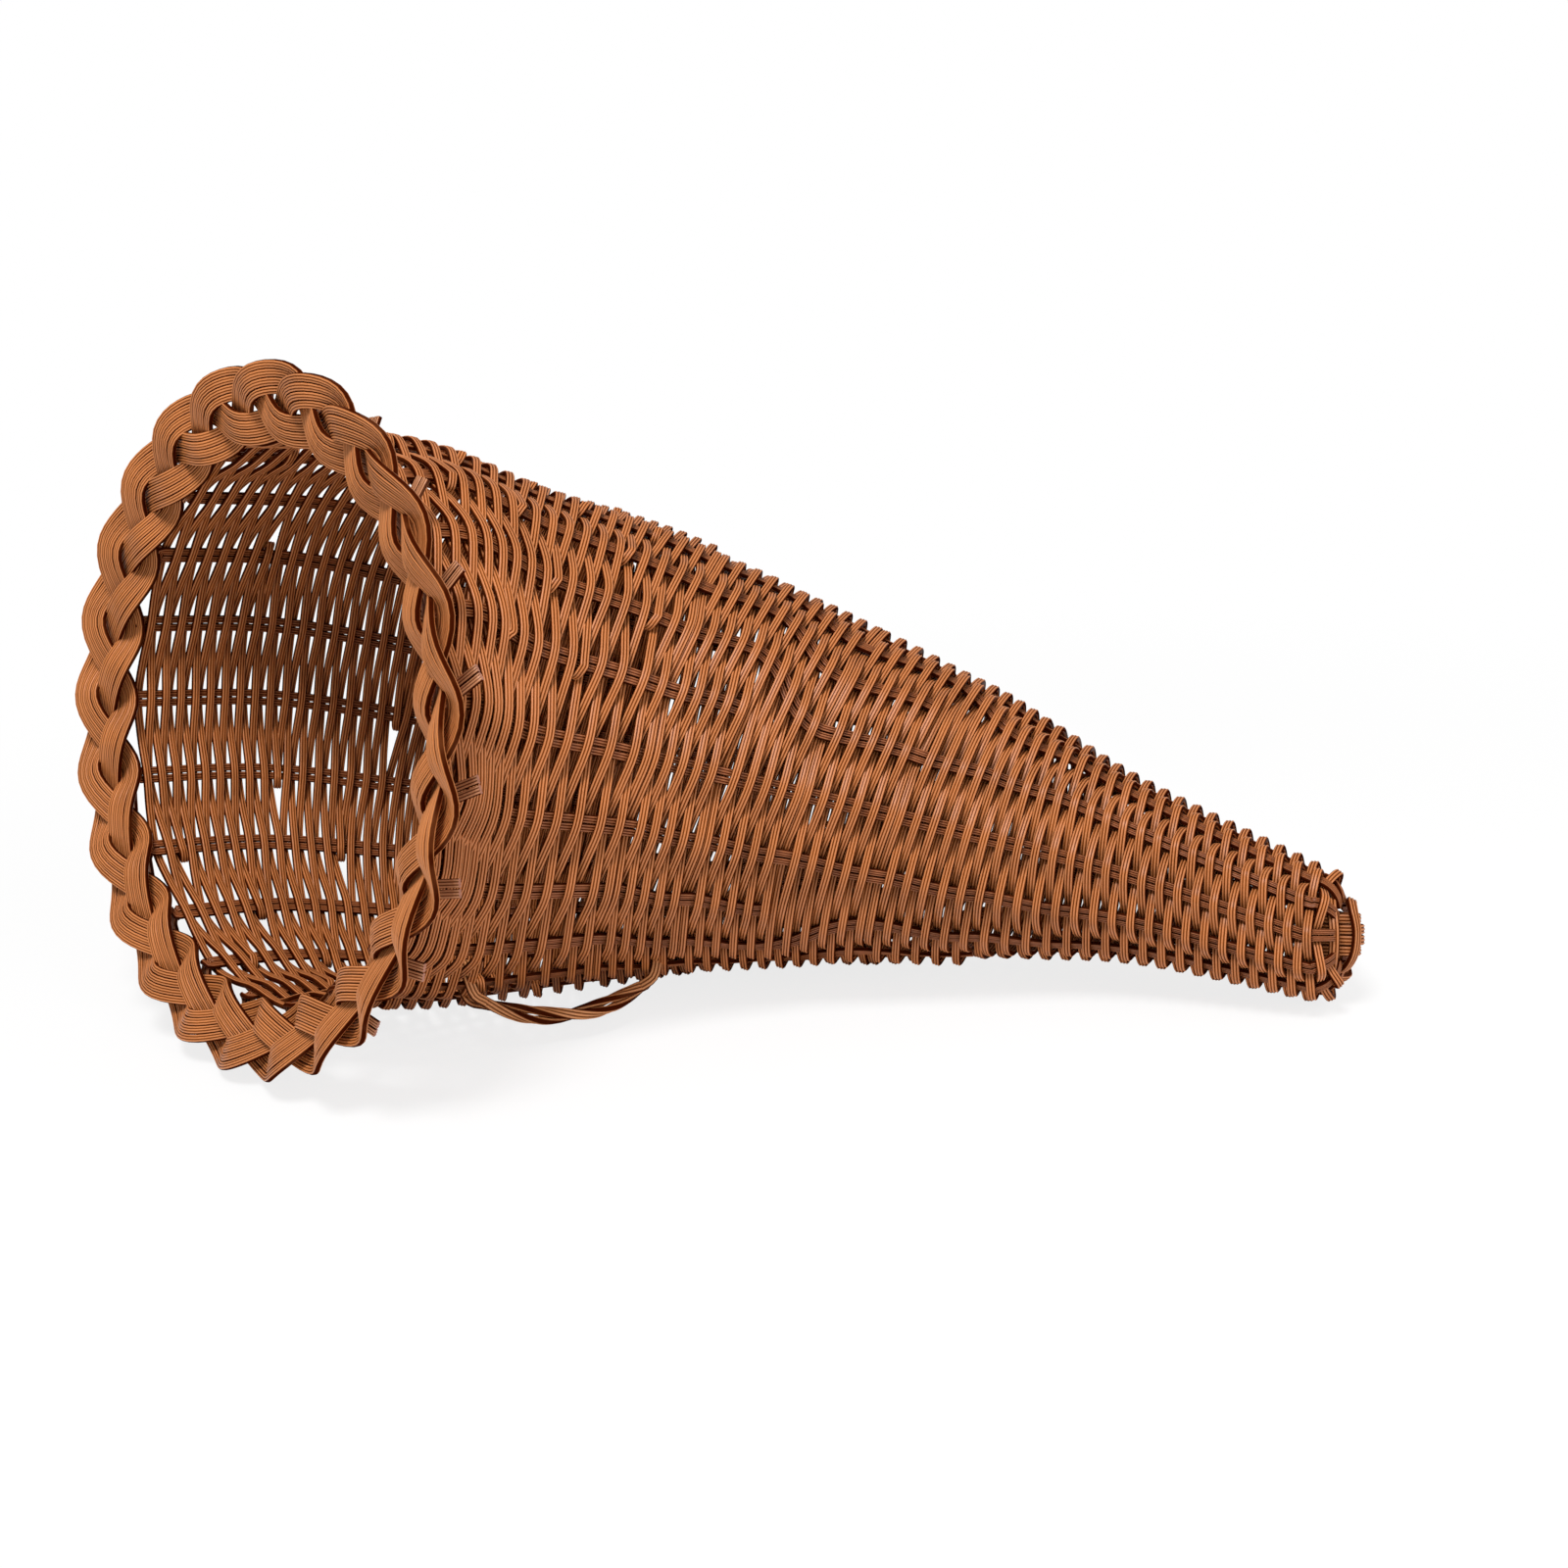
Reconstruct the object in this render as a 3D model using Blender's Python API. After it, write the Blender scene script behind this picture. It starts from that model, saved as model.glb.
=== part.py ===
"""Cornucopia basket: a horn woven from flat plastic rattan strand, with a plaited border round its
mouth, its strands gathered at the tail and a twisted hanging loop underneath.

Every strand is drawn in the horn's own frame: the origin is the centre of the mouth, +X runs towards
the tail, -Y is the hollow side of the bend and +Z is up. The whole horn is then laid down the way it
comes to rest on a table, by lowering its centre of mass as far as it goes."""

import math

import bmesh
import bpy
import numpy as np
from mathutils import Matrix

MM = 0.001

# The outer surface of the horn, as rings from the mouth to the tail. Angles run round a ring from the
# hollow side of the bend, 0, over the top, 90, to the far side, 180, and the underside, 270.
HORN_REACH = 262.0 * MM
HORN_BOW = 38.0 * MM
HORN_DROP = 51.5 * MM
MOUTH_RADIUS = 73.0 * MM
STATION_SHARES = (0.0, 0.12, 0.26, 0.42, 0.58, 0.74, 0.88, 1.0)
REACH_SHARES = (0.0, 0.087, 0.201, 0.343, 0.511, 0.691, 0.838, 1.0)
BOW_SHARES = (0.0, 0.487, 0.845, 1.0, 0.942, 0.689, 0.371, -0.076)
DROP_SHARES = (0.0, 0.03, -0.093, -0.184, -0.332, -0.53, -0.717, -1.0)
RADIUS_SHARES = (1.0, 1.01, 0.962, 0.866, 0.683, 0.502, 0.33, 0.238)
RING_YAW = np.radians((45.0, 33.0, 16.0, 3.0, -8.0, -15.0, -22.0, -26.0))
RING_LEAN = np.radians((-1.5, 5.0, 12.0, 16.0, 18.0, 17.0, 6.0, 0.0))

CLEARANCE = 0.35 * MM
CROSSING_CLEARANCE = 0.55 * MM
SETTLING_ROUNDS = 4

# Stakes: flat pairs of strand along the horn. Pairs of them stop where the horn narrows.
STAKES = 21
STAKE_WIDTH = 4.4 * MM
STAKE_TAIL_WIDTH = 2.3 * MM
STAKE_TIP_WIDTH = 2.3 * MM
STAKE_THICKNESS = 1.6 * MM
FIRST_STAKE_ANGLE = math.radians(2.0)
STOPPED_STAKES = ((5, 15), (1, 11), (9, 19), (3, 13), (7, 17))
STOP_SHARES = (0.45, 0.53, 0.61, 0.69, 0.77)
CLOSING_SHARE = 0.07
STAKE_POINT_SPACING = 21.0 * MM
STAKE_SAMPLES = 60
STAKE_LEAST_POINTS = 8
STUB_BEHIND = 5.6 * MM
STUB_REACH = 13.5 * MM
STUB_SHARES = ((1.0, 1.18), (0.62, 0.92), (0.3, 0.92), (0.07, 1.04))

# The weaver: one strand after another, over one stake and under the next. Near the mouth it turns
# back round a stake on the far side, twice in each turn, which fills the longer side of the bend.
WEAVER_WIDTH = 2.3 * MM
WEAVER_THICKNESS = 1.4 * MM
RIM_TO_WEAVE = 8.0 * MM
RIM_TO_STAKE = 8.5 * MM
BEND_SHARE = 0.43
TURN_STAKES_UP = (5, 2, 4, 6, 3, 5, 1, 7, 4, 3)
TURN_STAKES_DOWN = (16, 14, 13, 15, 12, 16, 14, 15, 17, 13)
BEND_TURNS = len(TURN_STAKES_UP)
BODY_PITCH = 5.0 * MM
BODY_SAMPLES = 200
SLANT_SHARE = 0.55
TURN_REACH = 1.2 * MM
BEND_WEAVERS = 4
BODY_WEAVERS = 5

# The border: three flat bands plaited round the mouth.
BORDER_PROUD = 3.0 * MM
BORDER_RADIUS = MOUTH_RADIUS + BORDER_PROUD
BORDER_SWING = 9.3 * MM
BORDER_LIFT = 2.7 * MM
BAND_WIDTH = 7.2 * MM
BAND_THICKNESS = 2.3 * MM
BANDS = 3
BAND_PERIODS = 8
BAND_POINTS = 96
BAND_START = math.radians(50.0)
BAND_EDGE_SHARE = 0.74

# The tail: the stakes draw in round the strands that fold over the tip, and a strand binds them.
TIP_LENGTH = 4.6 * MM
GATHER_RADIUS = 8.4 * MM
GATHER_LENGTH = 2.4 * MM
TIP_SHARES = ((0.3, 0.12), (0.62, 0.45), (0.9, 0.86), (1.0, 1.0))
FOLDS = 4
FOLD_WIDTH = 2.2 * MM
FOLD_THICKNESS = 1.5 * MM
FOLD_RADIUS = 2.9 * MM
FOLD_DEPTH = 12.0 * MM
FOLD_POINTS = 7
BINDING_TURNS = 0.9
BINDING_RADIUS = 0.8 * MM
BINDING_PITCH = 0.6 * MM
BINDING_POINTS = 16

# The hanging loop: two strands twisted together, hooked round one stake at both ends.
LOOP_STAKE = 17
LOOP_START_SHARE = 0.28
LOOP_END_SHARE = 0.5
LOOP_STRAND_RADIUS = 0.85 * MM
LOOP_TWIST_RADIUS = 1.3 * MM
LOOP_TWISTS = 2
LOOP_RISE = 10.5 * MM
ARCH_START = 0.12
ARCH_FULLNESS = 0.7
LOOP_POINTS = 20
HOOK_HALF_WIDTH = 4.2 * MM
HOOK_DEPTH = 5.6 * MM
HOOK_SHARES = ((0.75, -1.0), (1.0, -0.7), (1.0, 0.0), (1.0, 0.7))

FLAT_DEPTH = 0.5 * MM
FIRST_TURN_STEP = math.radians(4.0)
LAST_TURN_STEP = math.radians(0.0005)
CUT_OVERRUN = 5.0 * MM

STRAND_COLOUR = (0.42, 0.155, 0.048, 1.0)
STAKE_COLOUR = (0.34, 0.118, 0.036, 1.0)
BORDER_COLOUR = (0.47, 0.18, 0.058, 1.0)
STRAND_ROUGHNESS = 0.42

WALL_DEPTH = STAKE_THICKNESS / 2 + WEAVER_THICKNESS + 2 * CLEARANCE
CROSSING_LIFT = (STAKE_THICKNESS + WEAVER_THICKNESS) / 2 + CROSSING_CLEARANCE
STOPS = {stake: share for pair, share in zip(STOPPED_STAKES, STOP_SHARES) for stake in pair}
STOP_OF = np.array([STOPS.get(stake, np.inf) for stake in range(STAKES)])


# Curves and the horn's surface

def through(values, at):
    """A smooth curve through one value at each station, read at these shares of the horn."""
    shares = np.array(STATION_SHARES)
    values = np.array(values, float)
    slopes = np.gradient(values, shares)
    at = np.clip(at, shares[0], shares[-1])
    i = np.clip(np.searchsorted(shares, at, side="right") - 1, 0, len(shares) - 2)
    span = shares[i + 1] - shares[i]
    t = (at - shares[i]) / span
    start = (1 + 2 * t) * (1 - t) ** 2 * values[i] + t * (1 - t) ** 2 * span * slopes[i]
    end = t * t * (3 - 2 * t) * values[i + 1] + t * t * (t - 1) * span * slopes[i + 1]
    return start + end


def smooth_step(x):
    """0 up to x = 0, 1 from x = 1, and a smooth slope between."""
    x = np.clip(x, 0.0, 1.0)
    return x * x * (3 - 2 * x)


def unit(vectors):
    return vectors / np.linalg.norm(vectors, axis=-1, keepdims=True)


def ring(share):
    """Centre of the ring at this share of the horn, its normal towards the mouth, and the directions
    of angle 0 and angle 90."""
    places = (HORN_REACH * through(REACH_SHARES, share), HORN_BOW * through(BOW_SHARES, share),
              HORN_DROP * through(DROP_SHARES, share))
    centre = np.stack(places, -1)
    yaw = through(RING_YAW, share)
    lean = through(RING_LEAN, share)
    flat = np.cos(lean)
    mouthward = np.stack([-np.cos(yaw) * flat, -np.sin(yaw) * flat, np.sin(lean)], -1)
    near = np.stack([np.sin(yaw), -np.cos(yaw), np.zeros_like(yaw)], -1)
    return centre, mouthward, near, np.cross(mouthward, near)


def outward(share, angle):
    """The direction straight out of the horn at this angle of a ring."""
    _, _, near, up = ring(share)
    return np.cos(angle)[..., None] * near + np.sin(angle)[..., None] * up


def middle_radius(share):
    """The radius of the stakes' middle surface."""
    return MOUTH_RADIUS * through(RADIUS_SHARES, share) - WALL_DEPTH


def wall(share, angle, lift):
    """A point of the horn's wall, this far outside the stakes' middle surface."""
    reach = np.asarray(middle_radius(share) + lift)
    return ring(share)[0] + reach[..., None] * outward(share, angle)


def rim_share(angle, behind):
    """The share of the horn where the wall lies this far behind the mouth's plane."""
    share = BEND_SHARE / 2
    centre, mouthward, _, _ = ring(0.0)
    for _ in range(SETTLING_ROUNDS):
        depth = (centre - wall(np.full_like(angle, share), angle, 0.0)) @ mouthward
        share = share * behind / depth
    return share


def lengths_along(share, angle):
    """How far each point of a path on the stakes' middle surface is from its first point."""
    steps = np.diff(wall(share, angle, 0.0), axis=0)
    return np.concatenate([[0.0], np.cumsum(np.linalg.norm(steps, axis=1))])


# Solids

def material(name, colour):
    made = bpy.data.materials.new(name)
    made.use_nodes = True
    shader = made.node_tree.nodes["Principled BSDF"]
    shader.inputs["Base Color"].default_value = colour
    shader.inputs["Roughness"].default_value = STRAND_ROUGHNESS
    made.diffuse_color = colour
    return made


def add_object(name, data, colour, parent):
    solid = bpy.data.objects.new(name, data)
    data.materials.append(material(name, colour))
    basket.objects.link(solid)
    solid.parent = parent
    return solid


def flat_section(edge_share=1.0):
    """Corners of a flat strand's section, as shares of half its width and half its thickness. An edge
    share under 1 gives it pointed edges, like the rounded edges of a band."""
    corners = [(edge_share, 1), (-edge_share, 1), (-edge_share, -1), (edge_share, -1)]
    if edge_share < 1:
        corners = corners[:2] + [(-1, 0)] + corners[2:] + [(1, 0)]
    return np.array(corners, float)


def strand(name, points, face, width, thickness, colour, parent, closed=False, section=flat_section()):
    """A flat strand along these points, swept here because its flat side keeps facing the direction
    given at each point, which a curve's bevel can't follow."""
    points = np.asarray(points)
    if closed:
        tangent = unit(np.roll(points, -1, axis=0) - np.roll(points, 1, axis=0))
    else:
        tangent = unit(np.gradient(points, axis=0))
    across = unit(np.cross(tangent, face))
    out = np.cross(across, tangent)
    half_width = np.broadcast_to(np.asarray(width) / 2, len(points))[:, None, None]
    corners = (points[:, None] + half_width * section[None, :, :1] * across[:, None]
               + thickness / 2 * section[None, :, 1:] * out[:, None])
    rows, sides = corners.shape[:2]
    index = np.arange(rows * sides).reshape(rows, sides)
    following = np.roll(index, -1, axis=0) if closed else index[1:]
    first = index if closed else index[:-1]
    quads = np.stack([first, np.roll(first, -1, axis=1), np.roll(following, -1, axis=1), following], -1)
    faces = quads.reshape(-1, 4).tolist()
    if not closed:
        faces += [index[0][::-1].tolist(), index[-1].tolist()]
    mesh = bpy.data.meshes.new(name)
    mesh.from_pydata(corners.reshape(-1, 3).tolist(), [], faces)
    turn_outward(mesh)
    return add_object(name, mesh, colour, parent)


def turn_outward(mesh):
    shape = bmesh.new()
    shape.from_mesh(mesh)
    bmesh.ops.recalc_face_normals(shape, faces=shape.faces)
    shape.to_mesh(mesh)
    shape.free()


def round_strand(name, points, radius, colour, parent):
    """A round strand along these points, with closed ends."""
    curve = bpy.data.curves.new(name, "CURVE")
    curve.dimensions = "3D"
    curve.bevel_depth = radius
    curve.bevel_resolution = 1
    curve.use_fill_caps = True
    spline = curve.splines.new("POLY")
    spline.points.add(len(points) - 1)
    spline.points.foreach_set("co", np.column_stack([points, np.ones(len(points))]).ravel())
    return add_object(name, curve, colour, parent)


# Stakes

def stake_angles(share):
    """Angle of every stake on the ring at this share. A stopped stake leaves its room to the rest."""
    room = 1 - smooth_step((share - STOP_OF) / CLOSING_SHARE)
    place = np.cumsum(room) - room / 2
    return FIRST_STAKE_ANGLE + 2 * np.pi * (place - place[0]) / room.sum()


def stake_width(share):
    return STAKE_WIDTH + (STAKE_TAIL_WIDTH - STAKE_WIDTH) * share ** 2


def stake_run(stake):
    """Shares and angles along one stake, from just behind the mouth to its last ring."""
    first = rim_share(stake_angles(0.0), RIM_TO_STAKE)[stake]
    last = min(STOP_OF[stake], 1.0)
    fine = np.linspace(first, last, STAKE_SAMPLES)
    angles = np.array([stake_angles(share)[stake] for share in fine])
    along = lengths_along(fine, angles)
    even = np.linspace(0.0, along[-1], max(STAKE_LEAST_POINTS, round(along[-1] / STAKE_POINT_SPACING)))
    return np.interp(even, along, fine), np.interp(even, along, angles)


def stub_points(angle):
    """The end of a stake, turned out behind the border: from its tip in towards the wall."""
    centre, mouthward, near, up = ring(0.0)
    out = math.cos(angle) * near + math.sin(angle) * up
    wall_radius = middle_radius(0.0)
    return [centre + (wall_radius + STUB_REACH * reach) * out - STUB_BEHIND * behind * mouthward
            for reach, behind in STUB_SHARES], mouthward, out


def tip_points(angle):
    """The end of a stake that reaches the tail, drawn in round the folded strands."""
    centre, mouthward, near, up = ring(1.0)
    out = math.cos(angle) * near + math.sin(angle) * up
    start = middle_radius(1.0)
    draw_in = start - GATHER_RADIUS
    points = [centre + (start - draw_in * inward) * out - TIP_LENGTH * along * mouthward
              for along, inward in TIP_SHARES]
    return points + [points[-1] - GATHER_LENGTH * mouthward], out


class Stake:
    """One stake's middle line, from its stub behind the border to its last ring or the tail."""

    def __init__(self, number):
        self.shares, angles = stake_run(number)
        stub, mouthward, out = stub_points(angles[0])
        points = stub + list(wall(self.shares, angles, 0.0))
        faces = [mouthward] * (len(stub) - 1) + [unit(mouthward + out)] + list(outward(self.shares, angles))
        self.widths = [STAKE_WIDTH] * len(stub) + list(stake_width(self.shares))
        if STOP_OF[number] > 1:
            tip, out = tip_points(angles[-1])
            points += tip
            faces += [out] * len(tip)
            self.widths += [STAKE_TIP_WIDTH] * len(tip)
        self.points = np.array(points)
        self.faces = np.array(faces)
        tangents = unit(np.gradient(self.points, axis=0))
        squared = self.faces - tangents * (tangents * self.faces).sum(axis=1, keepdims=True)
        self.on_wall = slice(len(stub), len(stub) + len(self.shares))
        self.normals = unit(squared)[self.on_wall]
        self.sideways = np.cross(self.normals, tangents[self.on_wall])

    def read(self, values, share):
        """A value of the stake's wall points at this share of the horn."""
        return np.array([np.interp(share, self.shares, column) for column in values.T])

    def place(self, share):
        """The point of the middle line at this share of the horn, and the normal of its flat side."""
        return self.read(self.points[self.on_wall], share), unit(self.read(self.normals, share))

    def aside(self, share):
        """The direction across the stake's flat side, the way that angles grow."""
        return unit(self.read(self.sideways, share))


def build_stakes(stakes, parent):
    for number, stake in enumerate(stakes):
        strand(f"stake_{number + 1:02}", stake.points, stake.faces, stake.widths, STAKE_THICKNESS,
               STAKE_COLOUR, parent)


# Weavers

def packing(turn, angle):
    """1 where this turn lies three rows deep, 0 where it is one row, with a short slope between."""
    up, down = stake_angles(0.0)[[TURN_STAKES_UP[turn], TURN_STAKES_DOWN[turn]]]
    slope = 2 * np.pi / STAKES
    return smooth_step((angle - up) / slope + 1) * smooth_step((down - angle) / slope + 1)


def bend_share(turn, row, angle):
    """The share of the horn where this row of this turn crosses an angle. Row 0 goes out, row 1 comes
    back and row 2 goes on. The rows share the room between the border and the end of the bend."""
    rows_before = sum(1 + 2 * packing(earlier, angle) for earlier in range(turn))
    all_rows = rows_before + sum(1 + 2 * packing(later, angle) for later in range(turn, BEND_TURNS))
    packed = packing(turn, angle)
    below = angle > np.pi
    room = (packed if below else 1.0, packed, 1.0 if below else packed)
    place = rows_before + sum(room[:row]) + room[row] / 2 + angle / (2 * np.pi) - 0.5
    start = rim_share(np.array([angle]), RIM_TO_WEAVE)[0]
    return start + (BEND_SHARE - start) * place / all_rows


def bend_passes(turn):
    """The stakes that the weaver crosses in one turn of the bend, in order, as (row, stake)."""
    up, down = TURN_STAKES_UP[turn], TURN_STAKES_DOWN[turn]
    out = [(0, stake) for stake in range(down + 1)]
    back = [(1, stake) for stake in range(down, up - 1, -1)]
    return out + back + [(2, stake) for stake in range(up, STAKES)]


def bend_crossings():
    """Crossings of the bend, as (share, angle, stake), with the turn stakes crossed twice."""
    angles = stake_angles(0.0)
    return [(bend_share(turn, row, angles[stake]), angles[stake], stake)
            for turn in range(BEND_TURNS) for row, stake in bend_passes(turn)]


def body_crossings():
    """Crossings from the end of the bend to the tail: one even spiral."""
    fine = np.linspace(BEND_SHARE, 1.0, BODY_SAMPLES)
    centres = ring(fine)[0]
    along = np.concatenate([[0.0], np.cumsum(np.linalg.norm(np.diff(centres, axis=0), axis=1))])
    turns = round(along[-1] / BODY_PITCH)
    crossings = []
    for turn in range(turns):
        for stake in range(STAKES):
            share = BEND_SHARE
            for _ in range(SETTLING_ROUNDS):
                angle = stake_angles(share)[stake]
                share = np.interp(along[-1] * (turn + angle / (2 * np.pi)) / turns, along, fine)
            if share < STOP_OF[stake]:
                crossings.append((share, angle, stake))
    return crossings


def crossing_lift(share, outside):
    """How far the weaver stands off the stakes' middle surface where it crosses one, so that its
    straight run to the next stake clears this one's edge."""
    radius = middle_radius(share)
    alive = np.sum(share < STOP_OF)
    spacing = 2 * np.pi * radius / alive
    width = stake_width(share) + SLANT_SHARE * WEAVER_WIDTH
    lift = CROSSING_LIFT / (1 - width / spacing)
    if outside:
        return lift + width / 2 * (spacing - width / 2) / (2 * radius)
    return -lift


class Weave:
    """The weaver's whole way over and under the stakes, outside at the even crossings."""

    def __init__(self, stakes):
        self.stakes = stakes
        self.bend = bend_crossings()
        self.crossings = self.bend + body_crossings()
        points, normals = [], []
        for number, (share, _, stake) in enumerate(self.crossings):
            point, normal = stakes[stake].place(share)
            points.append(point + crossing_lift(share, number % 2 == 0) * normal)
            normals.append(normal)
        self.points = np.array(points)
        self.normals = np.array(normals)

    def turns_back(self, number):
        """Whether the weaver turns back round the stake of this crossing to meet it again."""
        following = number + 1
        return following < len(self.crossings) and self.crossings[number][2] == self.crossings[following][2]

    def turn_points(self, number, out):
        """The way round the edge of the stake after this crossing, with the faces along it."""
        (share, _, stake), (next_share, _, _) = self.crossings[number:number + 2]
        middle = (share + next_share) / 2
        away = self.stakes[stake].aside(middle) * (1 if stake > self.crossings[number - 1][2] else -1)
        edge = (stake_width(share) / 2 + CLEARANCE + WEAVER_THICKNESS / 2) * away
        far = self.stakes[stake].place(middle)[0] + edge + TURN_REACH * away
        side = 1 if number % 2 == 0 else -1
        return ([self.points[number] + edge, far, self.points[number + 1] + edge],
                [out * self.normals[number], out * side * away, -out * self.normals[number + 1]])

    def run(self, first, last):
        """Points and faces from one crossing to another, with the turns back between them. The side
        that faces out before a turn back faces in after it."""
        points, faces = [], []
        out = 1
        for number in range(first, last + 1):
            points.append(self.points[number])
            faces.append(out * self.normals[number])
            if number < last and self.turns_back(number):
                around, around_faces = self.turn_points(number, out)
                points += around
                faces += around_faces
                out = -out
        points = np.array(points)
        for end, inner in ((0, 1), (-1, -2)):
            points[end] += CLEARANCE * unit(points[inner] - points[end])
        return points, np.array(faces)

    def joint(self, wanted):
        """The nearest crossing behind a stake where one weaver can end and the next begin."""
        number = wanted | 1
        while self.turns_back(number) or self.turns_back(number - 1):
            number += 2
        return number

    def beside(self, number, stake):
        """The place of the row's next crossing on that stake, before or after this crossing."""
        for other in (number - 1, number + 1):
            if self.crossings[other][2] == stake:
                return self.points[other]
        raise ValueError("the row doesn't reach that stake")


def build_weavers(weave, parent):
    in_bend, in_all = len(weave.bend), len(weave.crossings)
    wanted = [in_bend * k // BEND_WEAVERS for k in range(1, BEND_WEAVERS + 1)]
    wanted += [in_bend + (in_all - in_bend) * k // BODY_WEAVERS for k in range(1, BODY_WEAVERS)]
    cuts = [0] + [weave.joint(number) for number in wanted] + [in_all - 1]
    for k, (first, last) in enumerate(zip(cuts[:-1], cuts[1:])):
        points, faces = weave.run(first, last)
        strand(f"weaver_{k + 1}", points, faces, WEAVER_WIDTH, WEAVER_THICKNESS, STRAND_COLOUR, parent)


# Border

def build_border(parent):
    centre, mouthward, near, up = ring(0.0)
    angle = np.linspace(0, 2 * np.pi, BAND_POINTS, endpoint=False)
    out = np.cos(angle)[:, None] * near + np.sin(angle)[:, None] * up
    for band in range(BANDS):
        phase = BAND_PERIODS * angle + BAND_START + 2 * np.pi * band / BANDS
        reach = BORDER_RADIUS + BORDER_SWING * np.sin(phase)
        lift = -BORDER_LIFT * np.sin(2 * phase)
        points = centre + reach[:, None] * out + lift[:, None] * mouthward
        strand(f"border_band_{band + 1}", points, mouthward, BAND_WIDTH, BAND_THICKNESS, BORDER_COLOUR,
               parent, closed=True, section=flat_section(BAND_EDGE_SHARE))


# Tail

def build_tail(parent):
    centre, mouthward, near, up = ring(1.0)
    tip = centre - (TIP_LENGTH + GATHER_LENGTH) * mouthward
    bend = np.linspace(-np.pi / 2, np.pi / 2, FOLD_POINTS)
    pitch = FOLD_WIDTH + CLEARANCE
    for fold in range(FOLDS):
        height = pitch * (fold - (FOLDS - 1) / 2)
        start = tip + height * up
        arc = [start + FOLD_RADIUS * (np.sin(a) * near - np.cos(a) * mouthward) for a in bend]
        points = [arc[0] + FOLD_DEPTH * mouthward] + arc + [arc[-1] + FOLD_DEPTH * mouthward]
        faces = [-near] + [np.sin(a) * near - np.cos(a) * mouthward for a in bend] + [near]
        strand(f"tail_fold_{fold + 1}", points, faces, FOLD_WIDTH, FOLD_THICKNESS, STRAND_COLOUR, parent)
    radius = GATHER_RADIUS + STAKE_THICKNESS / 2 + CLEARANCE + BINDING_RADIUS
    turn = np.linspace(0, BINDING_TURNS, round(BINDING_TURNS * BINDING_POINTS) + 1)
    wind = 2 * np.pi * turn
    out = np.cos(wind)[:, None] * near + np.sin(wind)[:, None] * up
    back = GATHER_LENGTH - BINDING_RADIUS - BINDING_PITCH * turn
    points = tip + radius * out + back[:, None] * mouthward
    round_strand("tail_binding", points, BINDING_RADIUS, STRAND_COLOUR, parent)


# Hanging loop

class Hook:
    """The place of one end of the loop: the gap between two rows at the loop's stake."""

    def __init__(self, weave, stake, share):
        rows = sorted((row, number) for number, (row, _, crossed) in enumerate(weave.crossings)
                      if crossed == LOOP_STAKE)
        middles = [(before[0] + after[0]) / 2 for before, after in zip(rows, rows[1:])]
        gap = int(np.argmin(np.abs(np.array(middles) - share)))
        numbers = rows[gap][1], rows[gap + 1][1]
        self.anchor, self.out = stake.place(middles[gap])
        spacing = 2 * np.pi * middle_radius(middles[gap]) / np.sum(middles[gap] < STOP_OF)
        self.sides = {}
        for sign in (1, -1):
            rises = [weave.beside(number, LOOP_STAKE + sign) - weave.points[number] for number in numbers]
            shift = sum(rises) / 2 * HOOK_HALF_WIDTH / spacing
            self.sides[sign] = shift - self.out * (shift @ self.out)

    def path(self, sign):
        """One strand, from behind the stake, past its edge and out through the gap between rows."""
        aside = self.sides[sign]
        inner = unit(aside) * (LOOP_STRAND_RADIUS + CLEARANCE / 2)
        steps = [(inner, -1.0)] + [(aside * share, lift) for share, lift in HOOK_SHARES]
        return np.array([self.anchor + shift + HOOK_DEPTH * lift * self.out for shift, lift in steps])


def build_loop(weave, stake, parent):
    """The loop turns about the line through its two hooks. Its strands are drawn from that line."""
    hooks = [Hook(weave, stake, share) for share in (LOOP_START_SHARE, LOOP_END_SHARE)]
    anchors = np.array([hook.anchor for hook in hooks])
    axis = unit(anchors[1] - anchors[0])
    out = hooks[0].out + hooks[1].out
    rise = unit(out - axis * (out @ axis))
    side = np.cross(rise, axis)
    centre = anchors.mean(axis=0)
    frame = np.stack([axis, -side, rise], 1)
    pivot = bpy.data.objects.new("loop_pivot", None)
    basket.objects.link(pivot)
    pivot.parent = parent
    pivot.matrix_local = Matrix.Translation(centre) @ Matrix(frame.tolist()).to_4x4()
    for sign, name in ((1, "loop_strand_1"), (-1, "loop_strand_2")):
        start = hooks[0].path(sign)
        finish = hooks[1].path(sign * (-1) ** LOOP_TWISTS)
        points = np.concatenate([start, loop_twist(anchors, side, rise, sign), finish[::-1]])
        round_strand(name, (points - centre) @ frame, LOOP_STRAND_RADIUS, STRAND_COLOUR, pivot)
    return anchors


def loop_twist(anchors, side, rise, sign):
    """The run between the hooks: a flat arch, with the strand winding round its middle line."""
    t = np.linspace(0, 1, LOOP_POINTS)
    arch = LOOP_RISE * np.sin(np.pi * (ARCH_START + (1 - 2 * ARCH_START) * t)) ** ARCH_FULLNESS
    inset = HOOK_HALF_WIDTH
    span = anchors[1] - anchors[0]
    length = np.linalg.norm(span)
    run = inset + (length - 2 * inset) * t
    line = anchors[0] + run[:, None] * span / length + arch[:, None] * rise
    wind = np.pi * LOOP_TWISTS * t
    return line + LOOP_TWIST_RADIUS * sign * (np.cos(wind)[:, None] * side + np.sin(wind)[:, None] * rise)


# Rest on a table

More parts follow.
